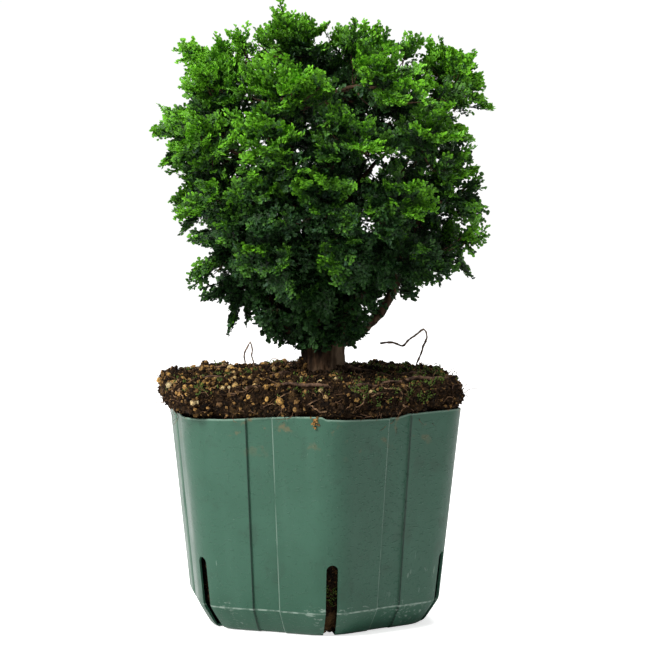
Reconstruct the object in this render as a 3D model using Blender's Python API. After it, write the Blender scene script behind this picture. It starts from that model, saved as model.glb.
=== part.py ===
# Hinoki cypress starter bonsai, standing in its root ball in a cut-down six-sided nursery pot.
# Metres, +Z up. The origin is the middle of the pot's underside, and the front of the plant faces -Y.
# An azimuth is measured from the front (-Y) towards the right (+X).

import math
import random

import bmesh
import bpy
from mathutils import Matrix, Vector, noise

# Pot: thin polypropylene, six sides with rounded corners, a slot at the foot of each corner
SIDES = 6
FRONT_CORNER = math.radians(8)
POT_HEIGHT = 0.118
BEVEL_HEIGHT = 0.013
FOOT_ROUND = 0.0015
APOTHEM_TOP = 0.0765
APOTHEM_BEVEL = 0.0661
APOTHEM_FOOT = 0.0585
CORNER_ROUND_TOP = 0.020
CORNER_ROUND_FOOT = 0.024
WALL = 0.0013
BAND_HALF = 0.0070
BAND_DEEP = 0.0012
BAND_STEP = 0.0007
SLOT_WIDTH = 0.0063
SLOT_TOP = 0.040
SLOT_INNER_REACH = 0.050

# Root ball: fills the pot and stands proud of the cut rim
GAP = 0.0003
PLATEAU = 0.1335
MOUND = 0.0035
MOUND_REACH = 0.028
SOIL_SIDE_PROUD = 0.0012
SOIL_LEFT_BULGE = 0.0050
SOIL_LUMP = 0.0016

# Trunk and limbs
TRUNK = Vector((0.0040, 0.0040, 0.0))
TRUNK_FOOT = 0.121
TRUNK_TOP = 0.158
TRUNK_RADIUS = 0.0105
TRUNK_SIDES = 12
TRUNK_SWELL = (
    (TRUNK_FOOT, 1.15),
    (0.131, 1.28),
    (0.137, 1.12),
    (0.144, 1.0),
    (0.151, 1.02),
    (TRUNK_TOP, 0.86),
)
TWIG_RADIUS = 0.0019
TWIG_TIP_RADIUS = 0.0011
LIMB_RADIUS = 0.0042
LIMB_TIP_RADIUS = 0.0021

# Foliage boughs: a small core at the end of each twig, with cupped, lobed fans standing out of it
CORE_RADIUS = 0.0115
BOUGH_REACH = 0.0300
FAN_LENGTH = 0.0320
FAN_HALF_ANGLE = math.radians(35)
FAN_THICK = 0.0024
FAN_CUP = 0.16
FANS_ROUND = 5
FAN_TILTS = (48, 86)
LOBE_POINTS = 8
CELL_MARGIN = 0.0005
LEAST_ROOM = 0.72
LEAST_CORE_ROOM = 0.8
HEART = Vector((0.005, 0.003, 0.200))

# The crown's tiers: height, reach to the right, to the left and to front and back, number of boughs and
# the first one's azimuth in degrees
TIERS = (
    (0.1730, 0.040, 0.064, 0.040, 5, 60),
    (0.2070, 0.097, 0.074, 0.070, 9, 90),
    (0.2460, 0.094, 0.082, 0.084, 11, 74),
    (0.2840, 0.086, 0.088, 0.080, 10, 90),
    (0.3150, 0.095, 0.072, 0.058, 7, 90),
)
CROWN_TIPS = (
    Vector((-0.012, -0.006, 0.3385)),
    Vector((0.032, 0.012, 0.3310)),
)
INNER_BOUGHS = (
    Vector((0.004, -0.012, 0.236)),
    Vector((0.004, 0.022, 0.252)),
    Vector((-0.020, -0.004, 0.272)),
    Vector((0.030, -0.002, 0.278)),
)


def direction(azimuth):
    return Vector((math.sin(azimuth), -math.cos(azimuth), 0.0))


def smoothstep(low, high, value):
    share = min(1.0, max(0.0, (value - low) / (high - low)))
    return share * share * (3 - 2 * share)


# Scene, collections and materials


def clear_scene():
    for obj in list(bpy.data.objects):
        bpy.data.objects.remove(obj)


def new_collection(name):
    collection = bpy.data.collections.new(name)
    bpy.context.scene.collection.children.link(collection)
    return collection


def new_material(name, colour, roughness):
    material = bpy.data.materials.new(name)
    material.use_nodes = True
    shader = material.node_tree.nodes["Principled BSDF"]
    shader.inputs["Base Color"].default_value = (*colour, 1.0)
    shader.inputs["Roughness"].default_value = roughness
    shader.inputs["Metallic"].default_value = 0.0
    material.diffuse_color = (*colour, 1.0)
    return material


def object_from_bmesh(name, bm, collection):
    """Closes a bmesh into an object, with its faces pointing out."""
    bmesh.ops.recalc_face_normals(bm, faces=bm.faces[:])
    mesh = bpy.data.meshes.new(name)
    bm.to_mesh(mesh)
    bm.free()
    obj = bpy.data.objects.new(name, mesh)
    collection.objects.link(obj)
    return obj


def mark_helper(obj):
    obj.hide_render = True
    obj.display_type = "WIRE"


def evaluated_mesh(obj):
    bpy.context.view_layer.update()
    graph = bpy.context.evaluated_depsgraph_get()
    return bpy.data.meshes.new_from_object(obj.evaluated_get(graph))


def boolean(obj, operation, tools, solver="EXACT"):
    """Applies one Boolean of a whole collection to obj."""
    modifier = obj.modifiers.new(operation.lower(), "BOOLEAN")
    modifier.operation = operation
    modifier.operand_type = "COLLECTION"
    modifier.collection = tools
    modifier.solver = solver
    obj.data = evaluated_mesh(obj)
    obj.modifiers.clear()


def drop_collection(collection):
    for obj in list(collection.objects):
        bpy.data.objects.remove(obj)
    bpy.data.collections.remove(collection)


def loft(rings):
    """A closed skin through rings of points, each with as many points, capped at both ends."""
    bm = bmesh.new()
    loops = [[bm.verts.new(point) for point in ring] for ring in rings]
    for lower, upper in zip(loops, loops[1:]):
        for i in range(len(lower)):
            j = (i + 1) % len(lower)
            bm.faces.new((lower[i], lower[j], upper[j], upper[i]))
    bm.faces.new(loops[0][::-1])
    bm.faces.new(loops[-1])
    return bm


# Pot


def apothem(z):
    """Middle of a flat side to the pot's axis, on the outside, at height z."""
    if z < BEVEL_HEIGHT:
        return APOTHEM_FOOT + (APOTHEM_BEVEL - APOTHEM_FOOT) * z / BEVEL_HEIGHT
    share = (z - BEVEL_HEIGHT) / (POT_HEIGHT - BEVEL_HEIGHT)
    return APOTHEM_BEVEL + (APOTHEM_TOP - APOTHEM_BEVEL) * share


def corner_round(z):
    share = min(1.0, z / POT_HEIGHT)
    return CORNER_ROUND_FOOT + (CORNER_ROUND_TOP - CORNER_ROUND_FOOT) * share


def side_outline(z, inset, band, corner_steps):
    """Points round the pot's six sides at height z, set in from its outer skin. band cuts the shallow
    strip that runs down the middle of each side."""
    reach = apothem(z) - inset
    rounding = corner_round(z) - inset
    points = []
    for side in range(SIDES):
        corner = FRONT_CORNER + side * math.tau / SIDES
        half_turn = math.pi / SIDES
        centre = direction(corner) * ((reach - rounding) / math.cos(half_turn))
        for step in range(corner_steps + 1):
            turn = corner + half_turn * (2 * step / corner_steps - 1)
            points.append(centre + direction(turn) * rounding)
        normal = direction(corner + half_turn)
        along = direction(corner + half_turn + math.pi / 2)
        flat_end = (reach - rounding) * math.tan(half_turn)
        outer = BAND_HALF + BAND_STEP
        quarter = (flat_end + outer) / 2
        if band:
            stations = (
                (-quarter, 0),
                (-outer, 0),
                (-BAND_HALF, BAND_DEEP),
                (BAND_HALF, BAND_DEEP),
                (outer, 0),
                (quarter, 0),
            )
        else:
            stations = ((-outer, 0), (0, 0), (outer, 0))
        points += [normal * (reach - deep) + along * t for t, deep in stations]
    return points


def rim_height(point):
    """The rim was cut by hand, so its height wanders, with a notch or two."""
    azimuth = math.atan2(point.x, -point.y)
    wave = 0.0016 * math.sin(2 * azimuth + 0.9) + 0.0009 * math.sin(5 * azimuth + 2.0)
    step = 0.0012 * smoothstep(0.55, 0.62, math.sin(3 * azimuth + 0.4))
    return POT_HEIGHT + wave - step


def at_height(points, z):
    return [Vector((p.x, p.y, z)) for p in points]


def at_rim(points, rise=0.0):
    return [Vector((p.x, p.y, rim_height(p) + rise)) for p in points]


def slot_cutters(collection):
    """A round-topped slot at the foot of each corner, which runs in under the floor."""
    half = SLOT_WIDTH / 2
    arc = [
        Vector((half * math.cos(t), 0, SLOT_TOP - half + half * math.sin(t)))
        for t in (math.pi * step / 8 for step in range(9))
    ]
    below = -0.01
    outline = [Vector((half, 0, below)), *arc, Vector((-half, 0, below))]
    for side in range(SIDES):
        corner = FRONT_CORNER + side * math.tau / SIDES
        outward = direction(corner)
        across = direction(corner + math.pi / 2)
        rings = [
            [across * p.x + outward * reach + Vector((0, 0, p.z)) for p in outline]
            for reach in (SLOT_INNER_REACH, 2 * APOTHEM_TOP)
        ]
        mark_helper(object_from_bmesh(f"slot_cutter_{side}", loft(rings), collection))


def make_pot(parts, material):
    steps = 5
    rim_outer = side_outline(POT_HEIGHT, 0, True, steps)
    rim_inner = side_outline(POT_HEIGHT, WALL, True, steps)
    rings = [
        at_height(side_outline(0, FOOT_ROUND, True, steps), 0),
        at_height(side_outline(FOOT_ROUND, 0.0002, True, steps), FOOT_ROUND),
        at_height(side_outline(BEVEL_HEIGHT, 0, True, steps), BEVEL_HEIGHT),
        at_rim(rim_outer),
        at_rim(rim_inner),
        at_height(side_outline(BEVEL_HEIGHT, WALL, True, steps), BEVEL_HEIGHT),
        at_height(side_outline(WALL, WALL, True, steps), WALL),
    ]
    pot = object_from_bmesh("pot", loft(rings), parts)
    cutters = new_collection("slot cutters")
    slot_cutters(cutters)
    boolean(pot, "DIFFERENCE", cutters)
    pot.data.materials.append(material)
    drop_collection(cutters)


# Root ball


def ground(x, y):
    """Height of the top of the root ball."""
    away = math.hypot(x - TRUNK.x, y - TRUNK.y)
    mound = MOUND * (1 - smoothstep(0, MOUND_REACH, away))
    lumps = SOIL_LUMP * noise.noise(Vector((x * 90, y * 90, 0.3)))
    crumbs = 0.4 * SOIL_LUMP * noise.noise(Vector((x * 300, y * 300, 4.1)))
    return PLATEAU + mound + lumps + crumbs


def proud_ring(outline, share, drop):
    """A ring of the bare root ball above the rim: lumpy, and bulged at the left. drop is its depth under
    the top."""
    ring = []
    for point in outline:
        azimuth = math.atan2(point.x, -point.y)
        left = smoothstep(0.2, 1.0, -math.sin(azimuth))
        outward = Vector((point.x, point.y, 0)).normalized()
        lump = SOIL_LUMP * noise.noise(Vector((point.x * 110, point.y * 110, drop * 160)))
        push = SOIL_SIDE_PROUD + SOIL_LEFT_BULGE * left * math.sin(math.pi * share) + lump
        moved = point + outward * push
        ring.append(Vector((moved.x, moved.y, 0)))
    return ring


def make_soil(parts, material, tools):
    steps = 3
    inset = WALL + BAND_DEEP + GAP
    floor = WALL + GAP
    rim_inside = side_outline(POT_HEIGHT, inset, False, steps)
    rim_flush = side_outline(POT_HEIGHT, 0, False, steps)
    rings = [
        at_height(side_outline(floor, inset, False, steps), floor),
        at_height(side_outline(BEVEL_HEIGHT, inset, False, steps), BEVEL_HEIGHT),
        at_rim(rim_inside, 4 * GAP),
        at_rim(rim_flush, 5 * GAP),
    ]
    for share, height in ((0.45, 0.0055), (0.75, 0.0100)):
        ring = proud_ring(rim_flush, share, height)
        rings.append([Vector((p.x, p.y, rim_height(p) + height)) for p in ring])
    shoulder = proud_ring(rim_flush, 0.6, 0.016)
    rings.append([Vector((p.x, p.y, ground(p.x, p.y) - 0.0022)) for p in shoulder])
    for share in (0.92, 0.74, 0.56, 0.38, 0.20):
        rings.append(
            [Vector((p.x * share, p.y * share, ground(p.x * share, p.y * share))) for p in shoulder]
        )
    soil = object_from_bmesh("root_ball", loft(rings), parts)
    boolean(soil, "DIFFERENCE", tools)
    keep_largest_island(soil)
    soil.data.materials.append(material)


# Trunk, limbs and twigs


def bend(start, middle, end, steps):
    """Points on a smooth bow from start to end that leans towards middle."""
    points = []
    for step in range(steps + 1):
        t = step / steps
        points.append((1 - t) ** 2 * start + 2 * t * (1 - t) * middle + t * t * end)
    return points


def tube(name, points, radii, collection, resolution=1):
    """A closed tapering tube along points."""
    curve = bpy.data.curves.new(name, "CURVE")
    curve.dimensions = "3D"
    curve.bevel_depth = 1.0
    curve.bevel_resolution = resolution
    curve.use_fill_caps = True
    spline = curve.splines.new("POLY")
    spline.points.add(len(points) - 1)
    for control, point, radius in zip(spline.points, points, radii):
        control.co = (*point, 1)
        control.radius = radius
    guide = bpy.data.objects.new(name, curve)
    collection.objects.link(guide)
    mesh = evaluated_mesh(guide)
    bpy.data.objects.remove(guide)
    bm = bmesh.new()
    bm.from_mesh(mesh)
    bpy.data.meshes.remove(mesh)
    bmesh.ops.remove_doubles(bm, verts=bm.verts[:], dist=1e-6)
    return object_from_bmesh(name, bm, collection)


def taper(thick, thin, count, grow):
    """Radii of a tapering tube's points, each grown by grow."""
    return [thick + (thin - thick) * i / (count - 1) + grow for i in range(count)]


def trunk_rings(grow):
    """A short fluted butt, wider at the foot, with the flutes of the stems that have grown together."""
    rings = []
    for z, swell in TRUNK_SWELL:
        ring = []
        for step in range(TRUNK_SIDES):
            turn = math.tau * step / TRUNK_SIDES
            flute = 1 + 0.09 * math.cos(3 * turn + 0.6) + 0.05 * math.cos(5 * turn + z * 60)
            radius = TRUNK_RADIUS * swell * flute + grow
            ring.append(TRUNK + direction(turn) * radius + Vector((0, 0, z)))
        rings.append(ring)
    rings[0] = [p - Vector((0, 0, grow)) for p in rings[0]]
    rings[-1] = [p + Vector((0, 0, grow)) for p in rings[-1]]
    return rings


# Main limbs: azimuth in degrees, height and reach of the tip, lean of the bow
LIMBS = (
    (100, 0.196, 0.046, 0.020),
    (48, 0.222, 0.046, 0.012),
    (-12, 0.238, 0.040, 0.010),
    (-75, 0.214, 0.044, 0.014),
    (-128, 0.232, 0.044, 0.012),
    (160, 0.230, 0.042, 0.012),
    (20, 0.288, 0.012, 0.006),
    (-60, 0.278, 0.020, 0.008),
)


def limb_paths():
    paths = []
    for azimuth, height, reach, lean in LIMBS:
        out = direction(math.radians(azimuth))
        start = TRUNK + Vector((0, 0, TRUNK_TOP - 0.012)) + out * 0.003
        end = TRUNK + out * reach + Vector((0, 0, height))
        middle = start.lerp(end, 0.45) + out * lean - Vector((0, 0, 0.3 * lean))
        paths.append(bend(start, middle, end, 4))
    return paths


def twig_paths(boughs, limbs):
    """One twig from the best placed limb to each bough's core."""
    paths = []
    for centre in boughs:
        cost, start = min(
            (
                (point - centre).length + 0.5 * max(0.0, point.z + 0.010 - centre.z),
                (limb_no, point_no),
            )
            for limb_no, limb in enumerate(limbs)
            for point_no, point in enumerate(limb)
            if point_no > 0
        )
        root = limbs[start[0]][start[1]]
        middle = root.lerp(centre, 0.5) + Vector((0, 0, 0.12 * (centre - root).length))
        paths.append(bend(root, middle, centre, 2))
    return paths


def make_wood_tools(limbs, twigs, collection, grow):
    """The trunk, limbs and twigs as loose closed pieces, grown by grow to make cutters."""
    butt = object_from_bmesh("trunk_piece", loft(trunk_rings(grow)), collection)
    for number, path in enumerate(limbs):
        radii = taper(LIMB_RADIUS, LIMB_TIP_RADIUS, len(path), grow)
        tube(f"limb_{number}", path, radii, collection)
    for number, path in enumerate(twigs):
        radii = taper(TWIG_RADIUS, TWIG_TIP_RADIUS, len(path), grow)
        overrun = (path[-1] - path[-2]).normalized() * grow
        points = path[:-1] + [path[-1] + overrun]
        tube(f"twig_{number}", points, radii, collection, 0 if grow == 0 else 1)
    side_stem(collection, grow)
    return butt


def side_stem(collection, grow):
    """The paler stem that has grown into the right side of the butt."""
    foot = TRUNK + Vector((0.0075, -0.0035, TRUNK_FOOT + 0.001 - grow))
    top = TRUNK + Vector((0.0085, -0.0030, 0.156 + grow))
    points = bend(foot, foot.lerp(top, 0.5) + Vector((0.0012, 0, 0)), top, 4)
    tube("side_stem", points, [0.0050 + grow] * 5, collection, 2)


def make_wood(parts, material, limbs, twigs):
    pieces = new_collection("wood pieces")
    wood = make_wood_tools(limbs, twigs, pieces, 0)
    pieces.objects.unlink(wood)
    parts.objects.link(wood)
    wood.name = "trunk_and_limbs"
    boolean(wood, "UNION", pieces)
    keep_largest_island(wood)
    wood.data.materials.clear()
    wood.data.materials.append(material)
    drop_collection(pieces)


def keep_largest_island(obj):
    """Drops loose scraps that a cut leaves, and keeps the body."""
    bm = bmesh.new()
    bm.from_mesh(obj.data)
    unseen = set(bm.faces)
    islands = []
    while unseen:
        stack = [unseen.pop()]
        island = list(stack)
        while stack:
            for edge in stack.pop().edges:
                for face in edge.link_faces:
                    if face in unseen:
                        unseen.remove(face)
                        island.append(face)
                        stack.append(face)
        islands.append(island)
    islands.sort(key=lambda island: sum(face.calc_area() for face in island))
    scraps = [face for island in islands[:-1] for face in island]
    bmesh.ops.delete(bm, geom=scraps, context="FACES")
    bm.to_mesh(obj.data)
    bm.free()


# Foliage


def bough_tips():
    """Tip and centre of each bough, tier by tier round the crown."""
    rng = random.Random(11)
    tips = list(CROWN_TIPS)
    for height, right, left, depth, count, first in TIERS:
        for number in range(count):
            azimuth = math.radians(first + 360 * number / count)
            facing = abs(math.cos(azimuth))
            azimuth += rng.uniform(-0.10, 0.10) * facing
            out = direction(azimuth)
            side = right if out.x > 0 else left
            power = 2.4
            reach = (abs(out.x / side) ** power + abs(out.y / depth) ** power) ** (-1 / power)
            reach *= 1 + rng.uniform(-0.09, 0.05) * facing
            rise = rng.uniform(-0.006, 0.006) * facing
            tips.append(out * reach + Vector((0, 0, height + rise)))
    return tips


def bough_axis(centre):
    """Boughs point outwards from the heart of the crown, and lift a little."""
    return ((centre - HEART).normalized() + Vector((0, 0, 0.15))).normalized()


def bough_centres(tips):
    centres = []
    for tip in tips:
        outward = (tip - HEART).normalized()
        pull = min(BOUGH_REACH, 0.62 * (tip - HEART).length)
        centres.append(tip - outward * pull)
    return centres + list(INNER_BOUGHS)


def room(offset, centre, others):
    """The share of offset from a bough's centre that stays in the bough's own space, which ends half way
    to each neighbour."""
    share = 1.0
    for other in others:
        across = other - centre
        span = across.length
        if 1e-6 < span < 4 * BOUGH_REACH:
            forward = offset.dot(across) / span
            if forward > 0:
                share = min(share, (span / 2 - CELL_MARGIN) / forward)
    return share


def fit_to_room(bm, centre, others, least):
    """Draws in the vertices that stand in a neighbour's space. A piece that would lose too much shrinks
    as a whole."""
    shares = [room(vert.co, centre, others) for vert in bm.verts]
    whole = min(1.0, min(shares) / least)
    for vert, share in zip(bm.verts, shares):
        vert.co *= min(whole, share)


def fan_mesh(length, grow_along, face_along, rng):
    """A cupped fan with lobes round its outer edge, thickest in the middle: two blunt cones on one lobed
    rim."""
    side_along = face_along.cross(grow_along)
    bm = bmesh.new()
    middle = FAN_THICK / 2
    bmesh.ops.create_circle(bm, cap_ends=True, cap_tris=True, segments=LOBE_POINTS, radius=1.0)
    rim = [vert for vert in bm.verts if vert.co.length > 0.5]
    rim.sort(key=lambda vert: math.atan2(vert.co.y, vert.co.x) % math.tau)
    front = next(v for v in bm.verts if v.co.length <= 0.5)
    front.co = grow_along * (0.40 * length) + face_along * middle
    back = bm.verts.new(grow_along * (0.40 * length) - face_along * middle)
    for number, vert in enumerate(rim):
        bm.faces.new((rim[number - 1], vert, back))
        if number == 0:
            vert.co = grow_along * (0.02 * length)
            continue
        share = 2 * (number - 1) / (len(rim) - 2) - 1
        lobe = number % 2 == 1
        turn = FAN_HALF_ANGLE * share * (1.0 if lobe else 0.93)
        reach = length * (1.0 - 0.26 * share * share) * (1.0 if lobe else 0.76)
        reach *= rng.uniform(0.95, 1.04)
        out = grow_along * math.cos(turn) + side_along * math.sin(turn)
        curl = FAN_CUP * length * (share * share - 0.35) + rng.uniform(-0.04, 0.04) * length
        vert.co = out * reach + face_along * curl
    return bm


def bough_fans(axis, rng):
    """Growth and face directions of a bough's fans: one along its axis, and a ring that leans out by two
    tilts in turn. All start inside the core."""
    across = axis.cross(Vector((0, 0, 1)))
    if across.length < 0.2:
        across = axis.cross(Vector((0, 1, 0)))
    across.normalize()
    upward = across.cross(axis)
    fans = [(axis, upward)]
    first = rng.uniform(0, math.tau)
    for number in range(FANS_ROUND):
        turn = first + math.tau * (number + rng.uniform(-0.12, 0.12)) / FANS_ROUND
        ray = across * math.cos(turn) + upward * math.sin(turn)
        tilt = math.radians(FAN_TILTS[number % 2] + rng.uniform(-5, 5))
        grow = axis * math.cos(tilt) + ray * math.sin(tilt)
        face = axis * math.sin(tilt) - ray * math.cos(tilt)
        fans.append((grow, face))
    return fans


def make_bough(name, centre, axis, others, parts, material, tools, rng):
    pieces = new_collection(f"{name} pieces")
    bm = bmesh.new()
    bmesh.ops.create_icosphere(bm, subdivisions=1, radius=CORE_RADIUS)
    for vert in bm.verts:
        vert.co *= rng.uniform(0.86, 1.12)
    fit_to_room(bm, centre, others, LEAST_CORE_ROOM)
    bough = object_from_bmesh(name, bm, parts)
    for number, (grow, face) in enumerate(bough_fans(axis, rng)):
        bm = fan_mesh(FAN_LENGTH * rng.uniform(0.88, 1.04), grow, face, rng)
        fit_to_room(bm, centre, others, LEAST_ROOM)
        object_from_bmesh(f"{name}_fan_{number}", bm, pieces)
    for piece in (bough, *pieces.objects):
        piece.data.transform(Matrix.Translation(centre))
    boolean(bough, "UNION", pieces)
    drop_collection(pieces)
    near = new_collection(f"{name} wood")
    for tool in tools.objects:
        if any((vert.co - centre).length < 1.5 * BOUGH_REACH for vert in tool.data.vertices):
            near.objects.link(tool)
    boolean(bough, "DIFFERENCE", near)
    bpy.data.collections.remove(near)
    keep_largest_island(bough)
    bough.data.materials.clear()
    bough.data.materials.append(material)
    return bough


# Loose roots and dead stems on the root ball


def smooth_path(points, steps):
    """Points along a smooth line through the given ones."""
    path = []
    for i in range(len(points) - 1):
        before = points[max(i - 1, 0)]
        a, b = points[i], points[i + 1]
        after = points[min(i + 2, len(points) - 1)]
        for step in range(steps):
            t = step / steps
            path.append(
                0.5
                * (
                    2 * a
                    + (b - before) * t
                    + (2 * before - 5 * a + 4 * b - after) * t * t
                    + (3 * a - before - 3 * b + after) * t**3
                )
            )
    return path + [points[-1]]


# Each lies on the root ball: name, radius at the thick and thin end, and its way over the top in x, y
SURFACE_ROOTS = (
    (
        "root_front",
        0.0016,
        0.0009,
        (
            (0.076, -0.018),
            (0.066, -0.030),
            (0.053, -0.034),
            (0.041, -0.046),
            (0.026, -0.057),
            (0.010, -0.064),
            (-0.004, -0.066),
            (-0.017, -0.058),
            (-0.028, -0.062),
            (-0.036, -0.070),
        ),
    ),
    (
        "root_right",
        0.0017,
        0.0008,
        ((0.0185, 0.006), (0.030, 0.012), (0.043, 0.004), (0.055, 0.008), (0.064, -0.004), (0.076, -0.002)),
    ),
    (
        "root_left",
        0.0013,
        0.0007,
        ((-0.0130, -0.002), (-0.024, -0.012), (-0.037, -0.014), (-0.050, -0.026), (-0.064, -0.024)),
    ),
)


def root_tubes(collection, grow):
    for name, thick, thin, way in SURFACE_ROOTS:
        over = smooth_path([Vector((x, y, 0)) for x, y in way], 2)
        radii = taper(thick, thin, len(over), grow)
        points = [Vector((p.x, p.y, ground(p.x, p.y) + 0.0004)) for p in over]
        tube(name, points, radii, collection)


# Dry stems that stand in the root ball: name, radius, and points in x, y and height over the ground
DEAD_STEMS = (
    (
        "dead_stem_left",
        0.0005,
        (
            (-0.0385, 0.046, -0.004),
            (-0.0388, 0.046, 0.004),
            (-0.0378, 0.046, 0.010),
            (-0.0362, 0.046, 0.0142),
            (-0.0346, 0.046, 0.010),
            (-0.0338, 0.046, 0.004),
            (-0.0342, 0.046, -0.003),
        ),
    ),
    (
        "dead_stem_right",
        0.0006,
        (
            (0.0560, 0.026, -0.005),
            (0.0575, 0.026, 0.003),
            (0.0612, 0.026, 0.011),
            (0.0632, 0.026, 0.0185),
            (0.0618, 0.026, 0.0225),
            (0.0570, 0.026, 0.0200),
            (0.0522, 0.026, 0.0150),
            (0.0500, 0.026, 0.0130),
            (0.0455, 0.026, 0.0142),
            (0.0375, 0.026, 0.0158),
        ),
    ),
)


def stem_tubes(collection, grow):
    for name, radius, way in DEAD_STEMS:
        base = ground(way[0][0], way[0][1])
        points = smooth_path([Vector((x, y, base + rise)) for x, y, rise in way], 2)
        points[0] = points[0] - Vector((0, 0, grow))
        points[-1] = points[-1] - Vector((0, 0, grow if way[-1][2] < 0 else 0))
        tube(name, points, [radius + grow] * len(points), collection)


def main():
    clear_scene()
    parts = new_collection("hinoki cypress bonsai")
    plastic = new_material("pot plastic", (0.09, 0.22, 0.16), 0.45)
    earth = new_material("root ball earth", (0.055, 0.032, 0.016), 0.95)
    bark = new_material("bark", (0.16, 0.085, 0.045), 0.85)
    leaf = new_material("foliage", (0.045, 0.17, 0.02), 0.5)
    root_skin = new_material("root skin", (0.15, 0.075, 0.045), 0.75)
    dry = new_material("dry stem", (0.22, 0.14, 0.09), 0.8)

    centres = bough_centres(bough_tips())
    limbs = limb_paths()
    twigs = twig_paths(centres, limbs)

    wood_cutters = new_collection("wood cutters")
    make_wood_tools(limbs, twigs, wood_cutters, GAP)
    make_wood(parts, bark, limbs, twigs)

    rng = random.Random(5)
    for number, centre in enumerate(centres):
        others = [other for other in centres if other is not centre]
        name = f"bough_{number + 1:02d}"
        make_bough(name, centre, bough_axis(centre), others, parts, leaf, wood_cutters, rng)

    soil_cutters = new_collection("soil cutters")
    object_from_bmesh("trunk_hole", loft(trunk_rings(GAP)), soil_cutters)
    side_stem(soil_cutters, GAP)
    root_tubes(soil_cutters, GAP)
    stem_tubes(soil_cutters, GAP)
    make_soil(parts, earth, soil_cutters)
    drop_collection(soil_cutters)
    drop_collection(wood_cutters)

    root_tubes(parts, 0)
    stem_tubes(parts, 0)
    for obj in parts.objects:
        if obj.name.startswith("root_") and not obj.data.materials:
            obj.data.materials.append(root_skin)
        if obj.name.startswith("dead_"):
            obj.data.materials.append(dry)
    make_pot(parts, plastic)


main()
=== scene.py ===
import math

import bmesh
import bpy
import numpy as np
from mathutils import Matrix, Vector, noise
from mathutils.bvhtree import BVHTree


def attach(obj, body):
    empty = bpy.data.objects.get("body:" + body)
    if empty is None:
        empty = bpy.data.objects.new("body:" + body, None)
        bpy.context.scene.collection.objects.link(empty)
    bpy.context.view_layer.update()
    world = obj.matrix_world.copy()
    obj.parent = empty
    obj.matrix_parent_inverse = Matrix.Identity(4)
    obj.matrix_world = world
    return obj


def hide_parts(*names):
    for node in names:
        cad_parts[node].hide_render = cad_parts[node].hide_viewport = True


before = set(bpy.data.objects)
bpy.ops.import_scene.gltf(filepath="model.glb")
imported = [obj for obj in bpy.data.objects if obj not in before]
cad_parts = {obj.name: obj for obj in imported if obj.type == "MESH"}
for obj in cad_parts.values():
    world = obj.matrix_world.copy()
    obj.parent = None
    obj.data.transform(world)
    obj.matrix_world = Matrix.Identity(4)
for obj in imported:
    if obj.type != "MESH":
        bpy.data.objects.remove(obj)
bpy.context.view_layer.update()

# Studio: a seamless white sweep, a broad soft light from the upper left as in the photograph, a weaker
# one from the right, and the camera a little above the rim of the pot.

AIM = Vector((0.0066, 0.0, 0.1612))
CAMERA_DISTANCE = 1.7
CAMERA_PITCH = math.radians(5.18)
CAMERA_LENS = 171.0
SENSOR_WIDTH = 36.0
LIGHTS = (
    ("key_light", (-1.05, -0.85, 1.25), 0.55, 46, (1.0, 0.985, 0.96)),
    ("fill_light", (1.25, -1.0, 0.55), 1.1, 0.7, (0.97, 0.985, 1.0)),
    ("top_light", (0.10, 0.35, 1.5), 0.9, 20, (1.0, 1.0, 1.0)),
)
WHITE = (1.0, 1.0, 1.0, 1)
ROOM_GLOW = 0.34
BACKDROP_GLOW = 1.02
FLOOR_COLOUR = (0.93, 0.93, 0.93, 1)
FLOOR_ROUGHNESS = 0.7
FLOOR_GLOW = 0.68
FLOOR_HALF = 3
FLOOR_DROP = 0.0004


def soft_light(name, place, size, watts, colour):
    lamp = bpy.data.lights.new(name, "AREA")
    lamp.shape = "DISK"
    lamp.size = size
    lamp.energy = watts
    lamp.color = colour
    light = bpy.data.objects.new(name, lamp)
    light.location = place
    light.rotation_euler = (AIM - Vector(place)).to_track_quat("-Z", "Y").to_euler()
    bpy.context.scene.collection.objects.link(light)


for values in LIGHTS:
    soft_light(*values)

camera_data = bpy.data.cameras.new("photo_camera")
camera_data.sensor_width = SENSOR_WIDTH
camera_data.lens = CAMERA_LENS
camera = bpy.data.objects.new("photo_camera", camera_data)
camera_back = Vector((0, -math.cos(CAMERA_PITCH), math.sin(CAMERA_PITCH)))
camera.location = AIM + camera_back * CAMERA_DISTANCE
camera.rotation_euler = (-camera_back).to_track_quat("-Z", "Y").to_euler()
bpy.context.scene.collection.objects.link(camera)
bpy.context.scene.camera = camera

# The room lights the plant softly, while the camera sees its walls and its floor as the photograph's white.
world = bpy.data.worlds.new("white_studio")
world.use_nodes = True
backdrop = world.node_tree.nodes["Background"]
backdrop.inputs["Color"].default_value = WHITE
ray = world.node_tree.nodes.new("ShaderNodeLightPath")
glow = world.node_tree.nodes.new("ShaderNodeMapRange")
glow.inputs["To Min"].default_value = ROOM_GLOW
glow.inputs["To Max"].default_value = BACKDROP_GLOW
world.node_tree.links.new(ray.outputs["Is Camera Ray"], glow.inputs["Value"])
world.node_tree.links.new(glow.outputs[0], backdrop.inputs["Strength"])
bpy.context.scene.world = world
bpy.context.scene.view_settings.view_transform = "Standard"


def shade(mesh, smooth):
    mesh.polygons.foreach_set("use_smooth", np.full(len(mesh.polygons), smooth))


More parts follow.
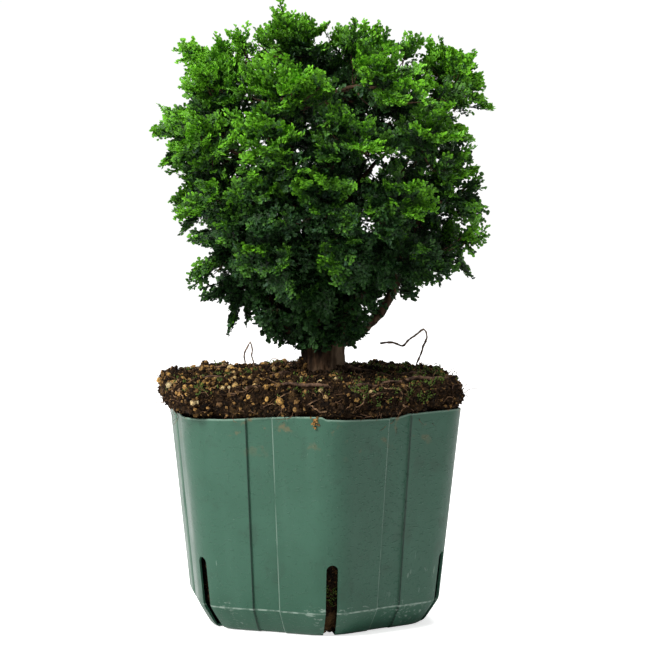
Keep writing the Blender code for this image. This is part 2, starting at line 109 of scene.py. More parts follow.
def mesh_object(name, points, faces):
    mesh = bpy.data.meshes.new(name)
    points = np.asarray(points, dtype=np.float32)
    faces = np.asarray(faces, dtype=np.int32)
    sides = faces.shape[1]
    mesh.vertices.add(len(points))
    mesh.vertices.foreach_set("co", points.ravel())
    mesh.loops.add(faces.size)
    mesh.loops.foreach_set("vertex_index", faces.ravel())
    mesh.polygons.add(len(faces))
    mesh.polygons.foreach_set("loop_start", np.arange(0, faces.size, sides, dtype=np.int32))
    shade(mesh, True)
    mesh.update()
    mesh.validate()
    piece = bpy.data.objects.new(name, mesh)
    bpy.context.scene.collection.objects.link(piece)
    return piece


floor_corners = [(x * FLOOR_HALF, y * FLOOR_HALF, 0) for x, y in ((-1, -1), (1, -1), (1, 1), (-1, 1))]
sweep = mesh_object("studio_floor", floor_corners, [(0, 1, 2, 3)])
sweep.location.z = -FLOOR_DROP
floor_material = bpy.data.materials.new("white_floor")
floor_material.use_nodes = True
floor_tree = floor_material.node_tree
floor_shader = floor_tree.nodes["Principled BSDF"]
floor_shader.inputs["Base Color"].default_value = FLOOR_COLOUR
floor_shader.inputs["Roughness"].default_value = FLOOR_ROUGHNESS
floor_shader.inputs["Emission Color"].default_value = WHITE
floor_ray = floor_tree.nodes.new("ShaderNodeLightPath")
floor_glow = floor_tree.nodes.new("ShaderNodeMath")
floor_glow.operation = "MULTIPLY"
floor_glow.inputs[1].default_value = FLOOR_GLOW
floor_tree.links.new(floor_ray.outputs["Is Camera Ray"], floor_glow.inputs[0])
floor_tree.links.new(floor_glow.outputs[0], floor_shader.inputs["Emission Strength"])
sweep.data.materials.append(floor_material)

# Nursery pot: thin green polypropylene, injection moulded, six sides with a shallow strip down each. Its
# rim was cut by hand, its foot is scuffed white, and a drain slot opens at the foot of each corner.

POT_SIDES = 6
POT_FRONT_CORNER = math.radians(8)
POT_HEIGHT = 0.118
POT_BEVEL = 0.013
POT_APOTHEM = ((0.0, 0.0585), (POT_BEVEL, 0.0661), (POT_HEIGHT, 0.0765))
POT_CORNER_ROUND = (0.024, 0.020)
POT_WALL = 0.0013
POT_SHARP_ANGLE = 24
CORNER_STEPS = 16
OUTSIDE_HEIGHTS = (0.0, 0.0008, 0.0018, 0.006, 0.0118, POT_BEVEL, 0.0142, *np.linspace(0.022, 0.112, 13))
INSIDE_HEIGHTS = (0.09, 0.05, 0.014, POT_WALL)
FOOT_INSETS = {0.0: 0.0016, 0.0008: 0.0005, 0.0018: 0.0001, POT_BEVEL: 0.0002}
RIM_WAVES = ((0.0016, 2, 0.9), (0.0009, 5, 2.0))
RIM_STEP = 0.0012
RIM_RAGGED = 0.00018
RIM_ROUND = 0.0003
CUT_BAND = 0.0011
CUT_EDGE_DEEP = 0.0006
CUT_EDGE_FADE = 0.0004
STRIP_HALF = 0.0070
STRIP_DEEP = 0.0012
STRIP_STEP = 0.0007
STRIP_LINE = 0.0005
STRIP_LINE_REACH = 0.0002
SLOT_HALF = 0.00315
SLOT_TOP = 0.040
SLOT_BELOW = 0.01
SLOT_REACH = (0.050, 0.12)
SLOT_ARC_STEPS = 12
POT_GREEN = (0.021, 0.072, 0.045)
POT_FADED = (0.026, 0.082, 0.053)
POT_STREAK = (0.040, 0.105, 0.072)
POT_GRIME = (0.016, 0.040, 0.026)
POT_SCUFF = (0.30, 0.38, 0.33)
POT_CUT_EDGE = (0.20, 0.30, 0.24)
# The dark edge line of each strip: dirt, with painted shade of its groove.
STRIP_DIRT_AND_SHADE = (0.007, 0.020, 0.014)
SOIL_STAIN = (0.13, 0.085, 0.035)


def heading(azimuth):
    return Vector((math.sin(azimuth), -math.cos(azimuth), 0.0))


def pot_outline(z, inset):
    """Points round the pot at height z, set in from its outer skin."""
    reach = np.interp(z, *zip(*POT_APOTHEM)) - inset
    rounding = np.interp(z, (0, POT_HEIGHT), POT_CORNER_ROUND) - inset
    half_turn = math.pi / POT_SIDES
    points = []
    for side in range(POT_SIDES):
        corner = POT_FRONT_CORNER + side * math.tau / POT_SIDES
        centre = heading(corner) * ((reach - rounding) / math.cos(half_turn))
        for step in range(CORNER_STEPS + 1):
            turn = corner + half_turn * (2 * step / CORNER_STEPS - 1)
            points.append(centre + heading(turn) * rounding)
        normal = heading(corner + half_turn)
        along = heading(corner + half_turn + math.pi / 2)
        flat_end = (reach - rounding) * math.tan(half_turn)
        outer = STRIP_HALF + STRIP_STEP
        quarter = (flat_end + outer) / 2
        profile = ((-quarter, 0), (-outer - STRIP_LINE, 0), (-outer, 0), (-STRIP_HALF, STRIP_DEEP))
        profile += ((0, STRIP_DEEP * 1.05),)
        profile += tuple((-t, deep) for t, deep in reversed(profile[:4]))
        points += [normal * (reach - deep) + along * t for t, deep in profile]
    return points


def rim_height(point):
    """The hand-cut rim: slow waves, three stretches a small step lower, and a ragged edge."""
    azimuth = math.atan2(point.x, -point.y)
    wave = sum(high * math.sin(turns * azimuth + start) for high, turns, start in RIM_WAVES)
    share = min(1.0, max(0.0, (math.sin(3 * azimuth + 0.4) - 0.55) / 0.07))
    step = RIM_STEP * share * share * (3 - 2 * share)
    ragged = RIM_RAGGED * noise.noise(Vector((point.x, point.y, 0)) * 420)
    return POT_HEIGHT + wave - step + ragged


def pot_rings():
    """Outline after outline, up the outside, over the rim and down the inside."""
    rings = [[(p.x, p.y, z) for p in pot_outline(z, FOOT_INSETS.get(z, 0))] for z in OUTSIDE_HEIGHTS]
    inner = POT_WALL - RIM_ROUND
    for inset, drop in ((0, CUT_BAND), (0, RIM_ROUND), (RIM_ROUND, 0), (inner, 0), (POT_WALL, RIM_ROUND)):
        rings.append([(p.x, p.y, rim_height(p) - drop) for p in pot_outline(POT_HEIGHT, inset)])
    rings += [[(p.x, p.y, z) for p in pot_outline(z, POT_WALL)] for z in INSIDE_HEIGHTS]
    return rings


def skin_of(rings):
    """A closed skin through the rings, as a bmesh."""
    bm = bmesh.new()
    loops = [[bm.verts.new(point) for point in ring] for ring in rings]
    for lower, upper in zip(loops, loops[1:]):
        for i in range(len(lower)):
            j = (i + 1) % len(lower)
            bm.faces.new((lower[i], lower[j], upper[j], upper[i]))
    bm.faces.new(loops[0][::-1])
    bm.faces.new(loops[-1])
    bmesh.ops.recalc_face_normals(bm, faces=bm.faces[:])
    return bm


def settle(bm, name):
    """Turns a bmesh into a piece of the scene."""
    mesh = bpy.data.meshes.new(name)
    bm.to_mesh(mesh)
    bm.free()
    piece = bpy.data.objects.new(name, mesh)
    bpy.context.scene.collection.objects.link(piece)
    return piece


def apply_modifiers(piece):
    bpy.context.view_layer.update()
    graph = bpy.context.evaluated_depsgraph_get()
    piece.data = bpy.data.meshes.new_from_object(piece.evaluated_get(graph))
    piece.modifiers.clear()


def cut_slots(pot):
    """A round-topped slot through the wall at the foot of each corner."""
    arc = [math.pi * step / SLOT_ARC_STEPS for step in range(SLOT_ARC_STEPS + 1)]
    outline = [(SLOT_HALF, -SLOT_BELOW)]
    outline += [(SLOT_HALF * math.cos(t), SLOT_TOP - SLOT_HALF * (1 - math.sin(t))) for t in arc]
    outline += [(-SLOT_HALF, -SLOT_BELOW)]
    for side in range(POT_SIDES):
        corner = POT_FRONT_CORNER + side * math.tau / POT_SIDES
        out, across = heading(corner), heading(corner + math.pi / 2)
        rings = [[across * t + out * far + Vector((0, 0, z)) for t, z in outline] for far in SLOT_REACH]
        cutter = settle(skin_of(rings), "slot_cutter")
        cut = pot.modifiers.new("slot", "BOOLEAN")
        cut.object = cutter
        cut.solver = "EXACT"
        apply_modifiers(pot)
        bpy.data.objects.remove(cutter)


def shade_by_angle(piece, degrees):
    mesh = piece.data
    shade(mesh, True)
    bm = bmesh.new()
    bm.from_mesh(mesh)
    for edge in bm.edges:
        edge.smooth = len(edge.link_faces) == 2 and edge.calc_face_angle(0) < math.radians(degrees)
    bm.to_mesh(mesh)
    bm.free()


def triangles_of(mesh):
    """The points of a mesh and the corners of its triangles."""
    mesh.calc_loop_triangles()
    points = np.empty(len(mesh.vertices) * 3, dtype=np.float32)
    mesh.vertices.foreach_get("co", points)
    corners = np.empty(len(mesh.loop_triangles) * 3, dtype=np.int32)
    mesh.loop_triangles.foreach_get("vertices", corners)
    return points.reshape(-1, 3).astype(float), corners.reshape(-1, 3)


def float_attribute(piece, name, values):
    layer = piece.data.attributes.new(name, "FLOAT", "POINT")
    layer.data.foreach_set("value", np.asarray(values, dtype=np.float32))


def group_socket(tree, name, out, kind="NodeSocketFloat", default=None):
    socket = tree.interface.new_socket(name=name, in_out="OUTPUT" if out else "INPUT", socket_type=kind)
    if default is not None:
        socket.default_value = default


def patch_group():
    """Patches: soft-edged blotches of noise, stretched along the three axes by Stretch."""
    tree = bpy.data.node_groups.new("Patches", "ShaderNodeTree")
    group_socket(tree, "Stretch", False, "NodeSocketVector", (1.0, 1.0, 1.0))
    for name, default in (("Scale", 100.0), ("Detail", 4.0), ("From", 0.45), ("To", 0.6)):
        group_socket(tree, name, False, default=default)
    group_socket(tree, "Mask", True)
    nodes, links = tree.nodes, tree.links
    given, result = nodes.new("NodeGroupInput"), nodes.new("NodeGroupOutput")
    place = nodes.new("ShaderNodeTexCoord")
    stretch = nodes.new("ShaderNodeVectorMath")
    stretch.operation = "MULTIPLY"
    cloud = nodes.new("ShaderNodeTexNoise")
    fade = nodes.new("ShaderNodeMapRange")
    fade.interpolation_type = "SMOOTHSTEP"
    links.new(place.outputs["Object"], stretch.inputs[0])
    links.new(given.outputs["Stretch"], stretch.inputs[1])
    links.new(stretch.outputs[0], cloud.inputs["Vector"])
    links.new(given.outputs["Scale"], cloud.inputs["Scale"])
    links.new(given.outputs["Detail"], cloud.inputs["Detail"])
    links.new(cloud.outputs[0], fade.inputs["Value"])
    links.new(given.outputs["From"], fade.inputs["From Min"])
    links.new(given.outputs["To"], fade.inputs["From Max"])
    links.new(fade.outputs[0], result.inputs["Mask"])
    return tree


PATCHES = patch_group()


class Finish:
    """A material under construction: its Principled shader, and short calls that add and join nodes."""

    def __init__(self, name, roughness, gloss):
        self.material = bpy.data.materials.new(name)
        self.material.use_nodes = True
        self.tree = self.material.node_tree
        self.shader = self.tree.nodes["Principled BSDF"]
        self.shader.inputs["Roughness"].default_value = roughness
        self.shader.inputs["Specular IOR Level"].default_value = gloss

    def link(self, source, socket):
        self.tree.links.new(source, socket)

    def patches(self, scale, start, stop, detail=4.0, stretch=(1, 1, 1)):
        node = self.tree.nodes.new("ShaderNodeGroup")
        node.node_tree = PATCHES
        node.inputs["Stretch"].default_value = stretch
        node.inputs["Scale"].default_value = scale
        node.inputs["Detail"].default_value = detail
        node.inputs["From"].default_value = start
        node.inputs["To"].default_value = stop
        return node.outputs["Mask"]

    def blend(self, share, first, second, strength=1.0):
        """second over first, by share."""
        mix = self.tree.nodes.new("ShaderNodeMix")
        mix.data_type = "RGBA"
        if strength != 1.0:
            share = self.math("MULTIPLY", share, strength)
        self.link(share, mix.inputs["Factor"])
        for value, socket in ((first, mix.inputs["A"]), (second, mix.inputs["B"])):
            if isinstance(value, tuple):
                socket.default_value = (*value, 1.0)
            else:
                self.link(value, socket)
        return mix.outputs["Result"]

    def math(self, operation, first, second):
        node = self.tree.nodes.new("ShaderNodeMath")
        node.operation = operation
        node.use_clamp = operation in ("MULTIPLY", "ADD")
        for value, socket in ((first, node.inputs[0]), (second, node.inputs[1])):
            if isinstance(value, (int, float)):
                socket.default_value = value
            else:
                self.link(value, socket)
        return node.outputs[0]

    def product(self, mask, *others):
        """A mask multiplied by other masks and numbers."""
        for other in others:
            mask = self.math("MULTIPLY", mask, other)
        return mask

    def strongest(self, mask, *others):
        """The highest of several masks at each point."""
        for other in others:
            mask = self.math("MAXIMUM", mask, other)
        return mask

    def band(self, value, middle, half):
        """1 where value lies within half of middle, and 0 elsewhere."""
        inside = self.math("COMPARE", value, middle)
        inside.node.inputs[2].default_value = half
        return inside

    def range(self, value, start, stop, low=0.0, high=1.0):
        node = self.tree.nodes.new("ShaderNodeMapRange")
        self.link(value, node.inputs["Value"])
        for name, number in (("From Min", start), ("From Max", stop), ("To Min", low), ("To Max", high)):
            node.inputs[name].default_value = number
        return node.outputs[0]

    def attribute(self, name):
        node = self.tree.nodes.new("ShaderNodeAttribute")
        node.attribute_name = name
        return node.outputs["Fac"]

    def place(self, axis):
        """Where a point of the piece lies along an axis, in metres."""
        where = self.tree.nodes.new("ShaderNodeTexCoord")
        split = self.tree.nodes.new("ShaderNodeSeparateXYZ")
        self.link(where.outputs["Object"], split.inputs[0])
        return split.outputs[axis]

    def colour(self, source):
        self.link(source, self.shader.inputs["Base Color"])

    def roughness(self, source):
        self.link(source, self.shader.inputs["Roughness"])

    def bump(self, source, depth, strength=1.0):
        node = self.tree.nodes.new("ShaderNodeBump")
        node.inputs["Strength"].default_value = strength
        node.inputs["Distance"].default_value = depth
        self.link(source, node.inputs["Height"])
        self.link(node.outputs["Normal"], self.shader.inputs["Normal"])


def strip_light_and_wear_lines(points):
    """1 along the edge of each strip that is rubbed pale and carries a painted highlight, -1 along the edge
    that holds dirt and painted shade.
    """
    side_turn = math.tau / POT_SIDES
    azimuth = np.arctan2(points[:, 0], -points[:, 1]) - POT_FRONT_CORNER
    side = np.floor(azimuth / side_turn).astype(int)
    along = POT_FRONT_CORNER + (side + 0.5) * side_turn + math.pi / 2
    across = points[:, 0] * np.sin(along) - points[:, 1] * np.cos(along)
    hand = np.where(side % 2 == 0, -1, 1)
    edge = STRIP_HALF + STRIP_STEP
    # The first edge is rubbed pale with a painted highlight, the second holds dirt with painted shade.
    pale = np.abs(across * hand - edge) < STRIP_LINE_REACH
    dirt_and_shade = np.abs(across * hand + edge) < STRIP_LINE_REACH
    return pale * 1.0 - dirt_and_shade * 1.0


def pot_green(plastic, faded):
    """Moulded green, faded in patches, with paler streaks down the sides and dark grime."""
    green = plastic.blend(faded, POT_GREEN, POT_FADED)
    streaks = plastic.patches(60, 0.50, 0.72, 5, (1, 1, 0.16))
    green = plastic.blend(streaks, green, POT_STREAK, 0.30)
    grime = plastic.patches(75, 0.56, 0.70, 8)
    return plastic.blend(grime, green, POT_GRIME, 0.30)


def pot_wear(plastic, z, line, rubbed):
    """Pale wear: the rubbed foot and the crease above it, knocks, scratches, flecks, and strip edges rubbed
    pale with a painted highlight.
    """
    some = plastic.patches(34, 0.50, 0.62, 2)
    foot = plastic.range(z, 0.019, 0.009)
    crease = plastic.band(z, 0.0132, 0.00045)
    worn = plastic.range(plastic.patches(240, 0.38, 0.58, 5), 0.0, 1.0, 0.15, 0.6)
    above_crease = plastic.band(z, 0.0140, 0.0022)
    smears = plastic.patches(260, 0.56, 0.66, 5, (1, 1, 2))
    right = plastic.range(plastic.place("X"), 0.036, 0.056)
    low = plastic.range(z, 0.040, 0.026)
    knocks = plastic.patches(420, 0.62, 0.68, 3, (1, 1, 0.35))
    scratches = plastic.patches(150, 0.765, 0.78, 2, (6.0, 6.0, 0.20))
    flecks = plastic.patches(800, 0.77, 0.80, 2)
    # The pale edge of each strip, toward the front corner: wear, with a painted highlight.
    strip_edge_wear_and_highlight = plastic.range(line, 0.0, 0.8)
    rubs = plastic.patches(90, 0.30, 0.55, 4, (1, 1, 0.4))
    return plastic.strongest(
        plastic.product(foot, rubbed, some, 0.5),
        plastic.product(crease, worn),
        plastic.product(above_crease, smears, some, 0.55),
        plastic.product(right, low, knocks, 0.40),
        plastic.product(scratches, 0.30),
        plastic.product(flecks, 0.35),
        plastic.product(strip_edge_wear_and_highlight, rubs, 0.42),
    )


def pot_finish():
    plastic = Finish("green_pot_plastic", 0.42, 0.26)
    z = plastic.place("Z")
    line = plastic.attribute("strip_light_and_wear_line")
    faded = plastic.patches(26, 0.42, 0.62)
    rubbed = plastic.patches(430, 0.57, 0.66, 6, (1, 1, 2.0))
    wear = pot_wear(plastic, z, line, rubbed)
    stain = plastic.product(plastic.range(z, 0.095, 0.120), plastic.patches(110, 0.60, 0.68, 7))
    # The dark edge of each strip: dirt, with painted shade where its groove's step lies in shadow.
    green = plastic.blend(plastic.range(line, 0.0, -0.8), pot_green(plastic, faded), STRIP_DIRT_AND_SHADE, 0.75)
    green = plastic.blend(wear, green, POT_SCUFF)
    green = plastic.blend(plastic.attribute("cut_edge"), green, POT_CUT_EDGE, 0.8)
    plastic.colour(plastic.blend(stain, green, SOIL_STAIN, 0.7))
    dull = plastic.range(wear, 0.0, 1.0, 0.36, 0.62)
    plastic.roughness(plastic.math("ADD", dull, plastic.product(faded, 0.08)))
    ripple = plastic.patches(45, 0.2, 0.8, 2, (1, 1, 0.5))
    relief = plastic.math("ADD", plastic.product(ripple, 0.5), plastic.product(rubbed, 0.2))
    plastic.bump(relief, 0.0006)
    return plastic.material


pot = settle(skin_of(pot_rings()), "nursery_pot")
cut_slots(pot)
shade_by_angle(pot, POT_SHARP_ANGLE)
pot_points, _ = triangles_of(pot.data)
below_rim = np.array([rim_height(Vector(p)) for p in pot_points]) - pot_points[:, 2]
float_attribute(pot, "cut_edge", np.clip((CUT_EDGE_DEEP - below_rim) / CUT_EDGE_FADE, 0, 1))
float_attribute(pot, "strip_light_and_wear_line", strip_light_and_wear_lines(pot_points))
pot.data.materials.append(pot_finish())
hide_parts("pot")
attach(pot, "root")

# Root ball: damp peat held by fine roots, keeping the pot's six-sided shape where it stands above the cut
# rim. Ochre fertiliser pellets and clay granules lie in it, and crumbs hang from its sides.

PEAT_GRAIN = 0.0019
PROUD_FROM = 0.1165
LUMP_HEIGHT = 0.0024
PIT_DEPTH = 0.0026
PEAT_DARK = (0.0026, 0.0017, 0.0011)
PEAT_BROWN = (0.017, 0.0092, 0.0042)
PEAT_FIBRE = (0.120, 0.066, 0.025)
PEAT_DRY = (0.120, 0.070, 0.026)
CRUMB_COUNT = 9000
SLOT_CRUMBS = 600
HEAP_CRUMBS = 520
SPILL_CRUMBS = 26
FOOT_CRUMBS = 420
CRUMB_SIZE = 0.0005
CRUMB_SPREAD = 0.0019
CRUMB_DARK = (0.0034, 0.0022, 0.0014)
CRUMB_BROWN = (0.030, 0.0160, 0.0068)
CRUMB_OCHRE = (0.34, 0.190, 0.062)
CRUMB_SMEAR = (0.045, 0.024, 0.011)
SLOT_CRUMB_IN = (0.0540, 0.0612)
SLOT_CRUMB_HIGH = (0.0015, 0.0028)
SLOT_CRUMB_SIZE = (0.0006, 0.0009)
SLOT_MARGIN = 0.004
HEAP_MIDDLE = (-0.0070, -0.0045)
HEAP_RADIUS = 0.0105
HEAP_FOOT = 0.1285
HEAP_HEIGHT = 0.0165
SPILL_X = 0.0012
SPILL_DOWN = 0.0012
SPILL_OUT = 0.0004
SPILL_SPREAD = (0.0013, 0.0003, 0.0014)
SPILL_SIZE = (0.0006, 0.0010)
PELLET_COUNT = 210
PELLET_SIZE = (0.0009, 0.0021)
PELLET_BROWN = (0.110, 0.054, 0.016)
PELLET_TAN = (0.46, 0.260, 0.060)
PELLET_PALE = (0.55, 0.46, 0.25)
PELLET_DIRT = (0.050, 0.028, 0.012)


def scatter(mesh, count, rng, keep=None):
    """Random points on a mesh's surface, evenly by area, and the face normal at each. keep drops faces by
    their middle."""
    points, corners = triangles_of(mesh)
    a, b, c = (points[corners[:, i]] for i in range(3))
    across = np.cross(b - a, c - a)
    area = np.linalg.norm(across, axis=1)
    if keep is not None:
        area = area * keep((a + b + c) / 3)
    chosen = rng.choice(len(area), count, p=area / area.sum())
    u, v = rng.random((2, count))
    flip = u + v > 1
    u[flip], v[flip] = 1 - u[flip], 1 - v[flip]
    spots = a[chosen] + (b - a)[chosen] * u[:, None] + (c - a)[chosen] * v[:, None]
    normals = across[chosen] / np.linalg.norm(across[chosen], axis=1)[:, None]
    return spots, normals


def fbm(points, scale, octaves=3):
    """Cloudy noise at each point."""
    return np.array([noise.fractal(Vector(p) * scale, 0.9, 2.1, octaves) for p in points])


def unit(vectors):
    return vectors / np.maximum(np.linalg.norm(vectors, axis=-1, keepdims=True), 1e-9)


def copy_of(node, name):
    piece = bpy.data.objects.new(name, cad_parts[node].data.copy())
    piece.data.materials.clear()
    bpy.context.scene.collection.objects.link(piece)
    return piece


def vertex_normals(mesh):
    normals = np.empty(len(mesh.vertices) * 3, dtype=np.float32)
    mesh.vertices.foreach_get("normal", normals)
    return normals.reshape(-1, 3)


def roughen(piece, shift):
    """Moves each vertex along its normal by shift(points)."""
    points, _ = triangles_of(piece.data)
    moved = points + vertex_normals(piece.data) * shift(points)[:, None]
    piece.data.vertices.foreach_set("co", moved.astype(np.float32).ravel())
    piece.data.update()


def refined(node, name, grain):
    """A copy of a solid with a fine, even mesh."""
    piece = copy_of(node, name)
    remesh = piece.modifiers.new("grain", "REMESH")
    remesh.mode = "VOXEL"
    remesh.voxel_size = grain
    apply_modifiers(piece)
    shade(piece.data, True)
    return piece


def peat_relief(points):
    """Lumps and pits above the rim, and pits alone where the pot's wall is close."""
    proud = np.clip((points[:, 2] - PROUD_FROM) / 0.004, 0, 1)
    lumps = fbm(points, 85, 2) * LUMP_HEIGHT
    pits = fbm(points, 270, 3) * PIT_DEPTH
    return proud * (lumps + pits - 0.0007) - (1 - proud) * (np.abs(lumps) + np.abs(pits)) * 0.9


def peat_finish():
    peat = Finish("peat", 0.95, 0.08)
    brown = peat.blend(peat.patches(240, 0.35, 0.65), PEAT_DARK, PEAT_BROWN)
    brown = peat.blend(peat.patches(700, 0.55, 0.7, 3), brown, PEAT_FIBRE, 0.6)
    brown = peat.blend(peat.patches(60, 0.56, 0.72), brown, PEAT_DRY, 0.45)
    peat.colour(brown)
    peat.bump(peat.patches(900, 0.2, 0.8, 6), 0.0009)
    return peat.material


peat = refined("root_ball", "root_ball_peat", PEAT_GRAIN)
roughen(peat, peat_relief)
peat.data.materials.append(peat_finish())
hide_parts("root_ball")
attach(peat, "root")


def round_grain(subdivisions):
    """The points and faces of a ball of radius 1."""
    bm = bmesh.new()
    bmesh.ops.create_icosphere(bm, subdivisions=subdivisions, radius=1.0)
    bm.verts.ensure_lookup_table()
    points = np.array([v.co[:] for v in bm.verts])
    faces = np.array([[v.index for v in f.verts] for f in bm.faces])
    bm.free()
    return points, faces


def angular_grain():
    """The points and faces of an eight-sided crumb of radius 1."""
    points = np.array([(1, 0, 0), (0, 1, 0), (-1, 0, 0), (0, -1, 0), (0, 0, 1), (0, 0, -1)], dtype=float)
    sides = [(i, (i + 1) % 4) for i in range(4)]
    return points, np.array([(i, j, 4) for i, j in sides] + [(j, i, 5) for i, j in sides])


def random_frames(rng, count):
    """Random right-handed triples of axes."""
    first = unit(rng.normal(size=(count, 3)))
    second = unit(np.cross(first, rng.normal(size=(count, 3))))
    return np.stack([first, second, np.cross(first, second)], axis=2)


def strewn(name, shape, faces, spots, frames, scales, rng, ragged=0.0):
    """Copies of a shape in one mesh, each turned by its frame and sized by its scales."""
    count, size = len(spots), len(shape)
    local = np.broadcast_to(shape, (count, size, 3)) * scales[:, None, :]
    if ragged:
        local = local * (1 + rng.uniform(-ragged, ragged, (count, size, 1)))
    placed = np.einsum("nij,nkj->nki", frames, local) + spots[:, None, :]
    joined = faces[None] + (np.arange(count) * size)[:, None, None]
    return mesh_object(name, placed.reshape(-1, 3), joined.reshape(-1, faces.shape[1]))


def crumb_finish():
    crumb = Finish("peat_crumbs", 0.92, 0.1)
    kind = crumb.attribute("kind")
    brown = crumb.blend(crumb.range(kind, 0.0, 0.5), CRUMB_DARK, CRUMB_BROWN)
    brown = crumb.blend(crumb.range(kind, 0.5, 0.8), brown, CRUMB_OCHRE)
    brown = crumb.blend(crumb.patches(1500, 0.45, 0.65, 3), brown, CRUMB_SMEAR, 0.5)
    crumb.colour(brown)
    crumb.bump(crumb.patches(2200, 0.2, 0.8, 4), 0.0004)
    return crumb.material


def behind_slots(middles):
    """Faces of the peat that show through the drain slots."""
    x, y, z = middles.T
    corner_turn = math.tau / POT_SIDES
    azimuth = np.arctan2(x, -y) - POT_FRONT_CORNER
    off_corner = np.abs((azimuth + corner_turn / 2) % corner_turn - corner_turn / 2)
    return (z < SLOT_TOP) & (off_corner < 0.07) & (np.hypot(x, y) > 0.05)


def in_the_open(middles):
    """Faces of the peat that show: above the rim, and behind the slots."""
    return (middles[:, 2] > PROUD_FROM) + 0.9 * behind_slots(middles)


def trunk_foot(middles):
    """The foot of the trunk, which the crumbs bank up against, a little higher on its left."""
    return middles[:, 2] < 0.1395 - 0.22 * middles[:, 0]


def swept_into_slots(rng):
    """Spots at the foot of the drain slots, just inside the pot's skin."""
    corner = rng.integers(POT_SIDES, size=SLOT_CRUMBS) * math.tau / POT_SIDES + POT_FRONT_CORNER
    out = rng.uniform(*SLOT_CRUMB_IN, SLOT_CRUMBS)
    aside = rng.uniform(-SLOT_HALF, SLOT_HALF, SLOT_CRUMBS) * 0.8
    x = np.sin(corner) * out + np.cos(corner) * aside
    y = -np.cos(corner) * out + np.sin(corner) * aside
    return np.stack([x, y, rng.uniform(*SLOT_CRUMB_HIGH, SLOT_CRUMBS)], axis=1)


def heaped_at_trunk(rng):
    """Spots in a low heap against the foot of the trunk."""
    turn = rng.random(HEAP_CRUMBS) * math.tau
    spread = np.sqrt(rng.random(HEAP_CRUMBS))
    x = HEAP_MIDDLE[0] + HEAP_RADIUS * spread * np.cos(turn)
    y = HEAP_MIDDLE[1] + HEAP_RADIUS * spread * np.sin(turn)
    z = HEAP_FOOT + HEAP_HEIGHT * (1 - spread) * rng.random(HEAP_CRUMBS)
    return np.stack([x, y, z], axis=1)


def spilt_over_rim(rng):
    """Spots just below the front of the rim, where crumbs spilt over it and stuck."""
    front = min(pot_outline(POT_HEIGHT, 0), key=lambda p: abs(p.x - SPILL_X) + (p.y > 0))
    middle = np.array((front.x, front.y - SPILL_OUT, POT_HEIGHT - SPILL_DOWN))
    return middle + rng.normal(size=(SPILL_CRUMBS, 3)) * SPILL_SPREAD


rng = np.random.default_rng(21)
limb_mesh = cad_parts["trunk_and_limbs"].data
spots, normals = scatter(peat.data, CRUMB_COUNT, rng, in_the_open)
spots[-FOOT_CRUMBS:], normals[-FOOT_CRUMBS:] = scatter(limb_mesh, FOOT_CRUMBS, rng, trunk_foot)
swept = slice(0, SLOT_CRUMBS)
heaped = slice(swept.stop, swept.stop + HEAP_CRUMBS)
spilt = slice(heaped.stop, heaped.stop + SPILL_CRUMBS)
spots[swept] = swept_into_slots(rng)
spots[heaped] = heaped_at_trunk(rng)
spots[spilt] = spilt_over_rim(rng)
normals[swept] = 0
normals[spilt] = 0
left_top = np.clip((0.02 - spots[:, 0]) / 0.09, 0, 1)
kind = rng.beta(1.4, 3.0, CRUMB_COUNT)
kind = np.clip(kind + 0.35 * left_top * (rng.random(CRUMB_COUNT) < 0.30), 0, 1)
low_down = spots[:, 2] < SLOT_TOP + SLOT_MARGIN
size = CRUMB_SIZE + CRUMB_SPREAD * rng.beta(1.0, 3.6, CRUMB_COUNT)
size = np.where(low_down, size * 0.6, size)
size[swept] = rng.uniform(*SLOT_CRUMB_SIZE, SLOT_CRUMBS)
size[spilt] = rng.uniform(*SPILL_SIZE, SPILL_CRUMBS)
kind[spilt] = rng.uniform(0.62, 0.9, SPILL_CRUMBS)
scales = size[:, None] * rng.uniform(0.6, 1.25, (CRUMB_COUNT, 3))
spots += normals * np.where(low_down, -0.0006, 0.0004)[:, None]
grain_points, grain_faces = angular_grain()
frames = random_frames(rng, CRUMB_COUNT)
crumbs = strewn("root_ball_crumbs", grain_points, grain_faces, spots, frames, scales, rng, 0.25)
float_attribute(crumbs, "kind", np.repeat(kind, len(grain_points)))
shade(crumbs.data, False)
crumbs.data.materials.append(crumb_finish())
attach(crumbs, "root")


def pellet_finish():
    pellet = Finish("feed_pellets", 0.7, 0.3)
    kind = pellet.attribute("kind")
    tan = pellet.blend(pellet.range(kind, 0.0, 0.55), PELLET_BROWN, PELLET_TAN)
    tan = pellet.blend(pellet.range(kind, 0.6, 1.0), tan, PELLET_PALE)
    tan = pellet.blend(pellet.patches(800, 0.44, 0.60, 4), tan, PELLET_DIRT, 0.85)
    pellet.colour(tan)
    pellet.bump(pellet.patches(1500, 0.2, 0.8, 4), 0.0004)
    return pellet.material


def pellet_ground(middles):
    """Pellets lie mostly on the left and the front of the top, and a few stick in the sides."""
    left = np.clip((0.045 - middles[:, 0]) / 0.10, 0.12, 1)
    return (middles[:, 2] > PROUD_FROM + 0.002) * left * np.where(middles[:, 2] > 0.126, 1.6, 0.7)


spots, normals = scatter(peat.data, PELLET_COUNT, rng, pellet_ground)
size = rng.uniform(*PELLET_SIZE, PELLET_COUNT)
scales = size[:, None] * rng.uniform(0.75, 1.15, (PELLET_COUNT, 3))
ball_points, ball_faces = round_grain(2)
frames = random_frames(rng, PELLET_COUNT)
pellets = strewn("feed_pellets", ball_points, ball_faces, spots + normals * 0.0002, frames, scales, rng, 0.13)
float_attribute(pellets, "kind", np.repeat(rng.beta(1.5, 1.7, PELLET_COUNT), len(ball_points)))
pellets.data.materials.append(pellet_finish())
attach(pellets, "root")

# Fine roots: thread-like brown roots that mat the top and sides of the root ball, and thicker ones that
# were laid bare and wind over the peat. Both grew in it and hold it together.

